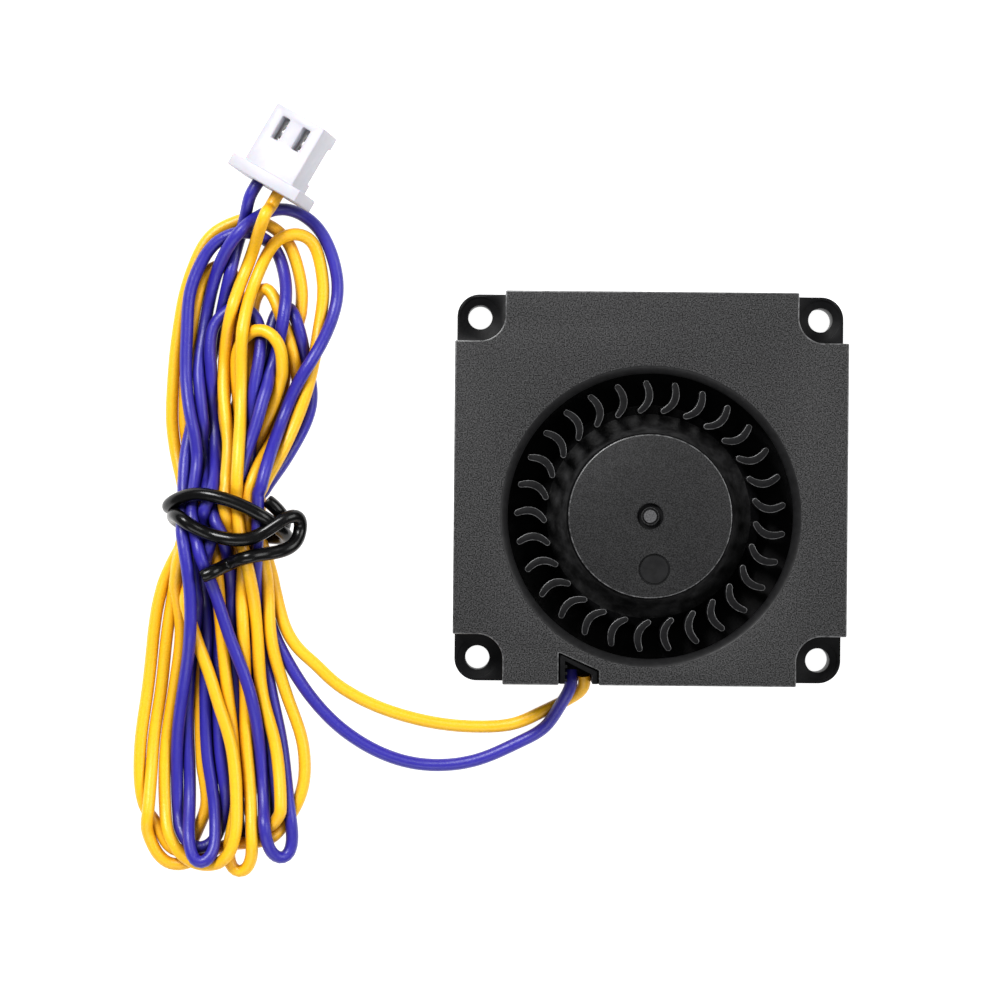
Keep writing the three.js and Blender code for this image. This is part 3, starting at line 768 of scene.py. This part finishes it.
def fold_route(shape, entry):
    """The points of one fold, from the leg that the wire enters by to the other.

    A leg's level is one number, or the one at the tie and the one at the tip.
    """
    low, mid, high = shape["levels"]

    def leg(places, levels):
        near, far = levels if isinstance(levels, tuple) else (levels, levels)
        count = len(places)
        return [(x, y, level_z(near + (far - near) * k / (count - 1)))
                for k, (x, y) in enumerate(zip(places, shape["stations"]))]

    left, right = leg(shape["left"], low), leg(shape["right"], high)
    tip = [(x, y, level_z(mid)) for x, y in shape["tip"]]
    route = left + tip + right[::-1]
    return route if entry == "l" else route[::-1]


def wire_route(lead, order, tail, plug_side):
    """A wire's points from the fan through its folds to the plug, gathered wherever it passes the tie."""
    route = list(lead)
    for shape, entry in order:
        route += fold_route(shape, entry)
    route += [(x, y, level_z(level)) for x, y, level in tail]
    tied = []
    for a, b in zip(route, route[1:]):
        tied.append(a)
        if (a[1] - TIE_Y) * (b[1] - TIE_Y) < 0:
            x = min(max((a[0] + b[0]) / 2, BUNDLE_LEFT), BUNDLE_RIGHT)
            tied.append((x, GATHER_Y, (a[2] + b[2]) / 2))
    tied.append(route[-1])
    return tied + [in_plug(plug_side, y, 0.0) for y in PLUG_ENTRY]


def close_pairs(points, owner, index, reach, apart):
    """Pairs of points nearer than reach that aren't neighbours along one wire."""
    found = []
    for start in range(0, len(points), PAIR_BLOCK):
        part = points[start:start + PAIR_BLOCK]
        gap = np.linalg.norm(part[:, None, :] - points[None, :, :], axis=2)
        a, b = np.nonzero(gap < reach)
        a += start
        keep = (a < b) & ((owner[a] != owner[b]) | (np.abs(index[a] - index[b]) > apart))
        found.append(np.column_stack([a[keep], b[keep]]))
    return np.vstack(found)


def flattener(count, bend):
    """A matrix that takes the short wobbles out of a column of values and keeps its two ends."""
    main = np.full(count, 6.0)
    main[[0, -1]], main[[1, -2]] = 1.0, 5.0
    beside = np.full(count - 1, -4.0)
    beside[[0, -1]] = -2.0
    beyond = np.ones(count - 2)
    weight = np.ones(count)
    weight[:HELD_START] = weight[-HELD_END:] = HELD_WEIGHT
    matrix = np.diag(weight + bend * main)
    for k, band in ((1, beside), (2, beyond)):
        matrix += bend * (np.diag(band, k) + np.diag(band, -k))
    return np.linalg.inv(matrix) * weight


def settle(lines, rounds):
    """Lets the wires sink on to each other and the table while they keep to their places from above."""
    lengths = [len(line) for line in lines]
    cuts = np.cumsum(lengths)[:-1]
    owner = np.repeat(np.arange(len(lines)), lengths)
    index = np.concatenate([np.arange(n) for n in lengths])
    last = np.array(lengths)[owner] - 1
    held = (index < HELD_START) | (index > last - HELD_END)
    inside = (index > 2) & (index < last - 2)
    along = [flattener(n, PLACE_BEND) for n in lengths]
    firm = [flattener(n, LINE_BEND) for n in lengths]
    p = np.vstack([flat @ line for flat, line in zip(firm, lines)])
    home = p[:, :2].copy()
    fixed = p[held].copy()
    count = len(p)
    clear = WIRE_D + WIRE_GAP
    for turn in range(rounds):
        if turn % PAIR_ROUNDS == 0:
            pairs = close_pairs(p, owner, index, WIRE_D + PAIR_REACH, PAIR_APART)
        gone = turn / rounds
        falling = gone < FALLING_SHARE
        drift = DRIFT_KEPT * (p[:, :2] - home) if falling else p[:, :2] - home
        drift = np.vstack([flat @ part for flat, part in zip(along, np.split(drift, cuts))])
        p[:, :2] = home + drift
        if falling:
            p[:, 2] -= FALL
        p[:, 2] = np.concatenate([flat @ part for flat, part in zip(firm, np.split(p[:, 2], cuts))])
        ceiling = START_TOP + (BUNDLE_TOP - START_TOP) * min(1.0, gone / GATHER_SHARE)
        for _ in range(FALLING_PUSHES if falling else LAST_PUSHES):
            a, b = pairs[:, 0], pairs[:, 1]
            away = p[a] - p[b]
            gap = np.linalg.norm(away, axis=1)
            near = gap < clear
            a, b, away, gap = a[near], b[near], away[near], gap[near]
            push = away / np.maximum(gap, 1e-6)[:, None] * ((clear - gap) * 0.5)[:, None]
            push[:, :2] *= SIDEWAYS_PUSH
            hits = np.bincount(a, minlength=count) + np.bincount(b, minlength=count)
            move = np.column_stack([
                np.bincount(a, push[:, k], count) - np.bincount(b, push[:, k], count) for k in range(3)])
            p += move / np.maximum(hits, 1)[:, None] * PUSH_GAIN
            under = inside & (p[:, 1] > TIE_LOW) & (p[:, 1] < TIE_HIGH) & (p[:, 0] < BUNDLE_SIDE)
            p[under, 0] = np.clip(p[under, 0], BUNDLE_LEFT, BUNDLE_RIGHT)
            p[under, 2] = np.clip(p[under, 2], 2 * TIE_R + WIRE_D / 2, ceiling)
            p[:, 2] = np.maximum(p[:, 2], WIRE_D / 2)
            p[held] = fixed
    return np.split(p, cuts)


ROUTES = [spread(wire_route(BLUE_LEAD, BLUE_ORDER, BLUE_TAIL, -PIN_PITCH / 2), RELAX_STEP),
          spread(wire_route(YELLOW_LEAD, YELLOW_ORDER, YELLOW_TAIL, PIN_PITCH / 2), RELAX_STEP)]
BLUE_LINE, YELLOW_LINE = settle(ROUTES, ROUNDS)

WIRE_STEP = 0.4
WIRE_SIDES = 14


def make_wire(name, line, replaced):
    drawn = respaced(line, WIRE_STEP)
    piece = obj_from(name, tube(drawn, WIRE_D / 2, WIRE_SIDES), MAT[name], HOUSING, replaced, 60.0)


# ---- tie

# The tie's way round the bundle: x, y and either a height or None where it lies over the wires.
TIE_ROUTE = [
    (-39.2, -1.5, 5.3), (-38.3, -2.3, 5.1), (-37.5, -3.3, 4.5), (-37.5, -4.2, 3.6), (-38.1, -4.4, 2.3),
    (-39.3, -4.0, 1.0), (-41.5, -3.4, 0.72), (-44.0, -3.0, 0.72), (-46.5, -2.8, 0.72), (-48.3, -2.6, 1.1),
    (-49.3, -2.4, 2.3), (-49.4, -2.2, 3.6), (-48.6, -1.6, None), (-47.4, -1.15, None), (-46.0, -0.95, None),
    (-44.4, -1.2, None), (-42.3, -1.8, None), (-40.6, -2.6, None), (-39.2, -3.4, None), (-37.9, -4.5, 4.6),
    (-37.2, -5.2, 3.4), (-37.8, -5.4, 1.9), (-39.4, -5.3, 0.9), (-42.0, -5.0, 0.72), (-45.0, -4.6, 0.72),
    (-47.2, -4.2, 0.85), (-48.6, -3.8, 1.8), (-48.9, -3.3, 3.2), (-48.2, -3.2, None), (-47.2, -4.0, None),
    (-45.4, -4.9, None), (-43.1, -5.5, None), (-40.9, -5.5, None), (-39.4, -4.75, 6.3), (-37.9, -3.8, 6.35),
    (-36.5, -3.05, 5.9), (-35.75, -3.4, 5.1), (-35.9, -4.6, 4.6), (-36.1, -5.7, 5.2), (-37.3, -6.6, 5.9),
    (-39.2, -7.0, None), (-41.2, -7.4, None), (-43.0, -8.1, None), (-44.6, -8.9, None), (-45.7, -9.4, None),
]


TIE_STEP = 0.25
TIE_BEND = 60.0
TIE_SIDES = 20
TIE_END = 0.86


def over_wires(x, y, wires):
    """The height at which the tie's centre rests on the wires under a point."""
    reach = WIRE_D / 2 + TIE_R
    apart = np.hypot(wires[:, 0] - x, wires[:, 1] - y)
    under = apart < reach
    if not under.any():
        return TIE_R
    return float((wires[under, 2] + np.sqrt(reach ** 2 - apart[under] ** 2)).max())


def tie_line():
    wires = np.vstack([BLUE_LINE, YELLOW_LINE])
    known = [(x, y, over_wires(x, y, wires) if z is None else z) for x, y, z in TIE_ROUTE]
    line = spread(known, TIE_STEP)
    return flattener(len(line), TIE_BEND) @ line


def make_tie():
    line = tie_line()
    radii = np.full(len(line), TIE_R)
    radii[[0, -1]] *= TIE_END
    return obj_from("tie_wire", tube(line, radii, TIE_SIDES), MAT["tie_plastic"], HOUSING,
                    ("twist_tie",), 50.0)


tie_wire = make_tie()

# ---- plug

FLANGE_W, FLANGE_D, FLANGE_L = 8.4, 5.75, 1.3
BODY_W, BODY_D, BODY_L = 5.9, 4.9, 8.0
CAVITY_W, CAVITY_D = 1.9, 2.3
SLOT_HALF, SLOT_FROM, SLOT_TO = 0.45, 4.6, 7.1
MOUTH_HALF, MOUTH_L, MOUTH_LOW, MOUTH_HIGH = 0.7, 0.45, -0.9, 1.6
KEY_HALF, KEY_L, KEY_D = 0.22, 0.5, 0.6
STEP_FROM, STEP_TO, STEP_W, STEP_D = 2.4, 6.6, 0.25, 0.9
PLUG_BEVEL = 0.16

TERMINAL_HALF, TERMINAL_DEPTH, TERMINAL_FROM, TERMINAL_TO = 0.8, 0.95, 3, 7.6
SOCKET_HALF, SOCKET_DEPTH = 0.55, 0.65
WINDOW_HALF, WINDOWS = 0.28, ((4.9, 5.3), (5.9, 6.6))
CRIMP_FROM, CRIMP_T = 0.6, 0.33
TERMINAL_BEVEL = 0.07


def put_in_place(solid):
    """Turns a solid from the plug's own axes into the model's."""
    solid.transform(PLUG_TURN)
    solid.transform(Matrix.Translation(PLUG_AT))


def plug_housing():
    flange = box(-FLANGE_W / 2, 0.0, -FLANGE_D / 2, FLANGE_W / 2, FLANGE_L, FLANGE_D / 2)
    body = box(-BODY_W / 2, 0.1, -BODY_D / 2, BODY_W / 2, BODY_L, BODY_D / 2)
    cutters = []
    for side in (-1, 1):
        x = side * PIN_PITCH / 2
        cutters.append(box(x - CAVITY_W / 2, -1, -CAVITY_D / 2, x + CAVITY_W / 2, BODY_L + 1, CAVITY_D / 2))
        cutters.append(box(x - SLOT_HALF, SLOT_FROM, 0, x + SLOT_HALF, SLOT_TO, BODY_D))
        cutters.append(box(x - MOUTH_HALF, BODY_L - MOUTH_L, MOUTH_LOW,
                           x + MOUTH_HALF, BODY_L + 1, MOUTH_HIGH))
    cutters.append(box(-KEY_HALF, -1.0, -FLANGE_D, KEY_HALF, KEY_L, -BODY_D / 2 + KEY_D))
    step_side, step_top = BODY_W / 2 - STEP_W, -BODY_D / 2 + STEP_D
    cutters.append(box(-BODY_W, STEP_FROM, -BODY_D, -step_side, STEP_TO, step_top))
    cutters.append(box(step_side, STEP_FROM, -BODY_D, BODY_W, STEP_TO, step_top))
    solid = combined(flange, [body], JOIN)
    for cutter in cutters:
        solid = combined(solid, [cutter], CUT)
    solid = bevelled(solid, PLUG_BEVEL, 3)
    put_in_place(solid)
    return obj_from("plug_housing", solid, MAT["white_nylon"], HOUSING,
                    ("connector_housing",))


def crimp_terminal(name, side, node):
    x = side * PIN_PITCH / 2
    socket = box(x - TERMINAL_HALF, TERMINAL_FROM, -TERMINAL_DEPTH,
                 x + TERMINAL_HALF, TERMINAL_TO, TERMINAL_DEPTH)
    hollow = box(x - SOCKET_HALF, TERMINAL_FROM - 1, -SOCKET_DEPTH,
                 x + SOCKET_HALF, TERMINAL_TO + 1.4, SOCKET_DEPTH)
    windows = [box(x - WINDOW_HALF, start, 0.5, x + WINDOW_HALF, end, 1.5) for start, end in WINDOWS]
    crimp = box(x - TERMINAL_HALF, CRIMP_FROM, -TERMINAL_DEPTH,
                x + TERMINAL_HALF, TERMINAL_FROM + 0.2, -TERMINAL_DEPTH + CRIMP_T)
    socket = combined(socket, [hollow], CUT)
    socket = combined(socket, windows, CUT)
    socket = bevelled(combined(socket, [crimp], JOIN), TERMINAL_BEVEL)
    put_in_place(socket)
    return obj_from(name, socket, MAT["tin"], HOUSING, (node,))


plug = plug_housing()
terminals = [crimp_terminal("terminal_blue", -1, "contact_blue"),
             crimp_terminal("terminal_yellow", 1, "contact_yellow")]

make_wire("blue_wire", BLUE_LINE, ("blue_lead", "blue_tail", "wire_hank"))
make_wire("yellow_wire", YELLOW_LINE, ("yellow_lead", "yellow_tail"))

# ---- housing

CORNERS = [(1, 1), (-1, 1), (-1, -1), (1, -1)]
HOOK_X, HOOK_HALF, HOOK_Z = 11.0, 2, 6
SEAM = 0.05
NOTCH_LEFT, NOTCH_RIGHT, NOTCH_LEFT_TOP, NOTCH_RIGHT_TOP = -9.2, -5.1, -16.7, -18.5
INLET_SIDES = 128
ARC_STEPS = 20
COVER_BEVEL = 0.13
BASE_BEVEL = 0.1
OUTLET_TURN_RIGHT, OUTLET_TURN_LEFT = (9.0, 13.5), 9.5

EAR_SEAT_R, EAR_SEAT_DEPTH = 2.05, 0.12
RIB_X, RIB_T = -8.6, 0.28
RIB_YS = (-17.6, -18.3, -19.0, -19.7)
BOARD_POST_R, BOARD_POST_RING, BOARD_POST_TOP = 0.5, 7.9, 1.55
BEARING_SEAT_R, BEARING_SEAT_TOP = 3.2, 2.6
BEARING_R, BEARING_Z = 2.68, 0.8
LABEL_R, LABEL_DEPTH = 12.2, 0.3
BOSS_R, BOSS_HOLE_R, BOSS_TOP = 4.2, 3.4, 0.5

COVER_LOOKS = ("cover_plastic", "painted_recess_shade", "painted_edge_highlight")


def cross_outline(inset):
    """The cover's outline: the square with a rounded cut-out at each ear, a given distance inside."""
    edge = SIDE / 2 - inset
    hole = HOLE_PITCH / 2
    quarter = [(edge, hole - EAR_CLEARANCE_R - inset)]
    quarter += arc(hole, hole, EAR_CLEARANCE_R + inset, 270, 180, ARC_STEPS)
    quarter += [(hole - EAR_CLEARANCE_R - inset, edge)]
    outline = []
    for turn in range(4):
        for x, y in quarter:
            for _ in range(turn):
                x, y = -y, x
            outline.append((x, y))
    apart = [outline[0]]
    for point in outline[1:]:
        if math.dist(point, apart[-1]) > WELD:
            apart.append(point)
    return apart


def rounded_square(half, r):
    outline = []
    for sx, sy, start in ((1, 1, 0), (-1, 1, 90), (-1, -1, 180), (1, -1, 270)):
        outline += arc(sx * (half - r), sy * (half - r), r, start, start + 90, 16)
    return outline


def spiral_r(deg):
    """The spiral wall's radius, which grows with the square of the angle from the tongue."""
    return TONGUE_R + SPIRAL_GROWTH * ((deg - TONGUE_DEG) / (SPIRAL_REF_DEG - TONGUE_DEG)) ** 2


def air_outline(outside):
    """The air space seen from above, or its wall's outer side: the spiral and then the outlet."""
    outline = [polar(spiral_r(deg) + outside, deg) for deg in range(int(TONGUE_DEG), 361, 4)]
    (turn_y, straight_y), half = OUTLET_TURN_RIGHT, OUTLET_HALF + outside
    outline += [(outline[-1][0], turn_y), (half, straight_y), (half, SIDE / 2 + 1),
                (-half, SIDE / 2 + 1), (-half, OUTLET_TURN_LEFT)]
    return outline


def notch_outline(inset, front=-SIDE / 2 - 1):
    """The lead's notch, with its slanted inner end."""
    left, right = NOTCH_LEFT + inset, NOTCH_RIGHT - inset
    return [(left, front), (right, front), (right, NOTCH_RIGHT_TOP - inset * 0.7),
            (left, NOTCH_LEFT_TOP - inset * 1.3)]


def drum(r, z0, z1, sides=64, x=0.0, y=AXIS_Y):
    return prism([polar(r, 360 * i / sides, x, y) for i in range(sides)], z0, z1)


def face_place(face):
    """A face's distance from the fan's axis and its height, mm."""
    return math.hypot(face.center.x, face.center.y - AXIS_Y * MM) / MM, face.center.z / MM


def make_cover():
    under = HEIGHT - COVER_T
    cover = prism(cross_outline(0.0), under, HEIGHT)
    inlet = lathe([(0, under - 1), (INLET_THROAT_R, under - 1), (INLET_THROAT_R, under + 0.45),
                   (INLET_THROAT_R + 0.12, under + 0.7), (INLET_R - 0.25, HEIGHT - 0.22),
                   (INLET_R - 0.05, HEIGHT - 0.06), (INLET_R + 0.1, HEIGHT), (INLET_R + 0.1, HEIGHT + 1),
                   (0, HEIGHT + 1)], INLET_SIDES)
    cover = combined(cover, [inlet, prism(notch_outline(0.0), 0, HEIGHT + 1)], CUT)
    edge = SIDE / 2 - WALL - 0.15
    top = under + 0.1
    hooks = [box(-edge, -HOOK_HALF, HOOK_Z, -edge + 0.8, HOOK_HALF, top),
             box(edge - 0.8, -HOOK_X - HOOK_HALF, HOOK_Z, edge, -HOOK_X + HOOK_HALF, top),
             box(HOOK_X - HOOK_HALF, -edge, HOOK_Z, HOOK_X + HOOK_HALF, -edge + 0.6, top)]
    cover = combined(cover, hooks, JOIN)
    plate = obj_from("cover_plate", bevelled(cover, COVER_BEVEL, 2, 60.0), MAT[COVER_LOOKS[0]], HOUSING,
                     ("top_cover",))
    for look in COVER_LOOKS[1:]:
        plate.data.materials.append(MAT[look])
    for face in plate.data.polygons:
        reach, height = face_place(face)
        slanted = face.normal.z < 0.98
        look = "cover_plastic"
        # Painted shade on the inlet's inner wall.
        if reach < INLET_R + 0.3 and (height < HEIGHT - 0.02 or slanted):
            look = "painted_recess_shade"
        # Painted highlight on the cover's rounded top edges.
        elif height > HEIGHT - COVER_BEVEL - 0.01 and slanted:
            look = "painted_edge_highlight"
        face.material_index = COVER_LOOKS.index(look)


def make_base():
    wall_top = HEIGHT - COVER_T - SEAM
    corner = rounded_square(SIDE / 2 - 0.15, CORNER_R)
    base = prism(corner, 0, FLOOR)
    ears = combined(prism(corner, 0, EAR_T), [prism(cross_outline(0.3), -1, EAR_T + 1)], CUT)
    outer = combined(prism(cross_outline(0.1), 0, wall_top), [prism(cross_outline(WALL), FLOOR, HEIGHT)],
                     CUT)
    spiral = combined(prism(air_outline(SCROLL_WALL), FLOOR - 0.1, wall_top),
                      [prism(cross_outline(0.1), 0, HEIGHT)], "INTERSECT")
    well = prism(notch_outline(0.15, -SIDE / 2 + 0.1), FLOOR - 0.1, HEIGHT - 0.5)
    base = combined(base, [ears, outer, spiral, well], JOIN)
    hollows = [prism(air_outline(0.0), FLOOR, HEIGHT), prism(notch_outline(0.65), FLOOR + 0.3, HEIGHT)]
    base = combined(base, hollows, CUT)
    ribs = [box(RIB_X, y, 5.2, RIB_X + RIB_T, y + 0.3, HEIGHT - 0.7) for y in RIB_YS]
    posts = [drum(BOARD_POST_R, FLOOR - 0.1, BOARD_POST_TOP, 20, *polar(BOARD_POST_RING, deg))
             for deg in (60, 180, 300)]
    base = combined(base, [drum(BEARING_SEAT_R, FLOOR - 0.1, BEARING_SEAT_TOP)] + posts + ribs, JOIN)
    recesses = [drum(BEARING_R, BEARING_Z, HEIGHT), drum(LABEL_R, -1, LABEL_DEPTH, 96)]
    base = combined(base, recesses, CUT)
    boss = combined(drum(BOSS_R, 0, BOSS_TOP), [drum(BOSS_HOLE_R, -1, LABEL_DEPTH)], CUT)
    base = combined(base, [boss], JOIN)
    places = [(sx * HOLE_PITCH / 2, sy * HOLE_PITCH / 2) for sx, sy in CORNERS]
    holes = [drum(HOLE_R, -1, HEIGHT, 48, *place) for place in places]
    seats = [drum(EAR_SEAT_R, EAR_T - EAR_SEAT_DEPTH, HEIGHT - 2, 48, *place) for place in places]
    base = combined(base, holes, CUT)
    base = combined(base, seats, CUT)
    obj_from("base_shell", bevelled(base, BASE_BEVEL, 2, 45.0), MAT["housing_plastic"], HOUSING,
             ("base_housing",))


make_cover()
make_base()

# ---- impeller


# A blade's line bends through three points, given by radius and angle.
BLADE_INNER = (10.5 + BLADE_T / 2, 8.75)
BLADE_MID = (12.0, 4.1)
BLADE_OUTER = (13.85 - BLADE_T / 2, 5.25)
BLADE_END_HALF, BLADE_BELLY = 0.26, 0.14
BLADE_STEPS, CAP_STEPS = 9, 6

# A blade's top edge is rounded: how far the outline grows, and the height.
BLADE_LEVELS = ((0.0, ROTOR_BOTTOM), (0.0, BLADE_TOP - 0.07), (-0.02, BLADE_TOP - 0.02), (-0.07, BLADE_TOP))

MARK_X, MARK_Y = 0.45, AXIS_Y - 5.4
MARK_R = 1.6
WHEEL_SIDES = 144
WHEEL_LOOKS = ("impeller_plastic", "hub_plastic", "painted_edge_highlight", "skirt_painted_light", "painted_recess_shade")


def blade_outline(turn_deg, grow=0.0):
    inner, mid, outer = (Vector(polar(r, deg, 0, 0)) for r, deg in (BLADE_INNER, BLADE_MID, BLADE_OUTER))
    control = 2 * mid - 0.5 * (inner + outer)

    def spine(t):
        return (1 - t) ** 2 * inner + 2 * t * (1 - t) * control + t * t * outer

    def heading(t):
        return (2 * (1 - t) * (control - inner) + 2 * t * (outer - control)).normalized()

    def half(t):
        return BLADE_END_HALF + BLADE_BELLY * math.sin(math.pi * (0.12 + 0.72 * t)) + grow

    right = []
    left = []
    for i in range(BLADE_STEPS + 1):
        t = i / BLADE_STEPS
        way = heading(t)
        across = Vector((-way.y, way.x))
        right.append(spine(t) - half(t) * across)
        left.append(spine(t) + half(t) * across)

    def cap(t, start):
        angle = math.degrees(math.atan2(heading(t).y, heading(t).x))
        centre = spine(t)
        return [Vector(polar(half(t), angle + start + 180 * k / CAP_STEPS, centre.x, centre.y))
                for k in range(1, CAP_STEPS)]

    outline = right + cap(1.0, -90) + left[::-1] + cap(0.0, 90)
    spin = Matrix.Rotation(math.radians(turn_deg), 2)
    return [((spin @ p).x, (spin @ p).y + AXIS_Y) for p in outline]


def wheel_look(face):
    """The material of a face of the wheel, by its place."""
    reach, height = face_place(face)
    level = face.normal.z
    from_mark = math.hypot(face.center.x - MARK_X * MM, face.center.y - MARK_Y * MM) / MM
    # Painted highlight on the blades' rounded top edges.
    if reach > 10.3 and height > BLADE_TOP - 0.03 and level < 0.999:
        return "painted_edge_highlight"
    # Painted light and sheen on the sloped skirt between the hub and the blades.
    if HUB_R + 0.1 < reach < 10.6 and level > 0.1:
        return "skirt_painted_light"
    # Painted highlight on the hub's rounded top edge.
    if HUB_R - 0.12 < reach < HUB_R + 0.02 and HUB_TOP - 0.13 < height < HUB_TOP - 0.01:
        return "painted_edge_highlight"
    # Painted shade in the mark's recess.
    if from_mark < MARK_R and HUB_TOP - 0.3 < height < HUB_TOP - 0.01:
        return "painted_recess_shade"
    if reach < HUB_R - 0.1 and height > HUB_TOP - 0.3:
        return "hub_plastic"
    return "impeller_plastic"


def make_impeller():
    shell = lathe([
        (SHAFT_R + 0.03, HUB_TOP - 0.2), (SHAFT_R + 0.1, HUB_TOP - 0.12), (0.92, HUB_TOP - 0.14),
        (0.95, HUB_TOP - 0.55), (1.3, HUB_TOP - 0.55), (1.33, HUB_TOP - 0.06), (1.4, HUB_TOP),
        (HUB_R - 0.12, HUB_TOP), (HUB_R - 0.03, HUB_TOP - 0.04), (HUB_R, HUB_TOP - 0.12),
        (HUB_R + 0.04, 8.3), (HUB_R + 0.15, 7.6), (HUB_R + 0.4, 6.4), (9.2, 5.3), (9.8, 4.4), (10.5, 3.75),
        (DISC_R - 0.1, 3.42), (DISC_R, 3.32), (DISC_R, ROTOR_BOTTOM + 0.08), (DISC_R - 0.08, ROTOR_BOTTOM),
        (10.9, ROTOR_BOTTOM), (9.7, 3.3), (8.3, 5.6), (8.25, ROTOR_BOTTOM), (YOKE_R + 0.07, ROTOR_BOTTOM),
        (YOKE_R + 0.07, 8.02), (1.45, 8.02), (1.45, 6.95), (SHAFT_R + 0.03, 6.95),
    ], WHEEL_SIDES)
    mark = lathe([(0, HUB_TOP - 0.16), (1.42, HUB_TOP - 0.16), (1.46, HUB_TOP - 0.24),
                  (1.56, HUB_TOP - 0.24), (1.64, HUB_TOP + 0.1), (0, HUB_TOP + 0.1)], 64, MARK_X, MARK_Y)
    shell = combined(shell, [mark], CUT)
    blades = bmesh.new()
    for i in range(BLADES):
        turn = 360.0 * i / BLADES
        rings = [[blades.verts.new((x, y, z)) for x, y in blade_outline(turn, grow)]
                 for grow, z in BLADE_LEVELS]
        blades.faces.new(rings[0][::-1])
        blades.faces.new(rings[-1])
        for a, b in zip(rings, rings[1:]):
            for k in range(len(a)):
                j = (k + 1) % len(a)
                blades.faces.new((a[k], a[j], b[j], b[k]))
    wheel = obj_from("impeller_wheel", combined(shell, [blades], JOIN), MAT[WHEEL_LOOKS[0]], ROTOR,
                     ("impeller",), 40.0)
    for look in WHEEL_LOOKS[1:]:
        wheel.data.materials.append(MAT[look])
    for face in wheel.data.polygons:
        face.material_index = WHEEL_LOOKS.index(wheel_look(face))


make_impeller()

# ---- carried-over nodes

for part in frame["record"]["subparts"]:
    node = bpy.data.objects[part["node"]]
    if node.hide_render:
        continue
    node.data.materials.clear()
    node.data.materials.append(MAT[part["material_slot"]])
    node.data.shade_smooth()

# ---- floor and light


FLOOR_HALF = 0.8
FLOOR_DROP = 0.00005
LIGHTS_AIM = (-0.015, 0.0, 0.0)
WORLD_LIGHT = 0.2

# Each light's name, place, size and power, in metres and watts.
LIGHTS = [
    ("key", (-0.25, 0.35, 0.5), (0.22, 0.22), 4.6),
    ("fill", (0.42, 0.1, 0.42), (0.4, 0.3), 1.9),
    ("front", (-0.05, -0.45, 0.4), (0.5, 0.25), 1.2),
]


def make_floor():
    bm = bmesh.new()
    bmesh.ops.create_grid(bm, x_segments=8, y_segments=8, size=FLOOR_HALF)
    mesh = bpy.data.meshes.new("floor")
    bm.to_mesh(mesh)
    bm.free()
    floor = bpy.data.objects.new("floor", mesh)
    floor.location.z = -FLOOR_DROP
    bpy.context.scene.collection.objects.link(floor)
    paint = Paint("floor_white", (0.35, 0.35, 0.35), 0.8, Emission_Color=(1.0, 1.0, 1.0, 1.0),
                  Emission_Strength=1.0)
    paint.vary((30.0, 2.0), 0.995, 1.0)
    mesh.materials.append(paint.mat)


def soft_light(name, at, size, power):
    data = bpy.data.lights.new(name, "AREA")
    data.shape = "RECTANGLE"
    data.size, data.size_y = size
    data.energy = power
    light = bpy.data.objects.new(name, data)
    light.location = at
    light.rotation_euler = (Vector(LIGHTS_AIM) - Vector(at)).to_track_quat("-Z", "Y").to_euler()
    bpy.context.scene.collection.objects.link(light)


def make_light():
    world = bpy.data.worlds.new("studio")
    world.use_nodes = True
    background = world.node_tree.nodes["Background"]
    background.inputs["Color"].default_value = (1.0, 1.0, 1.0, 1.0)
    background.inputs["Strength"].default_value = WORLD_LIGHT
    bpy.context.scene.world = world
    for name, at, size, power in LIGHTS:
        soft_light(name, at, size, power)


make_floor()
make_light()
bpy.context.scene.view_settings.view_transform = "Standard"
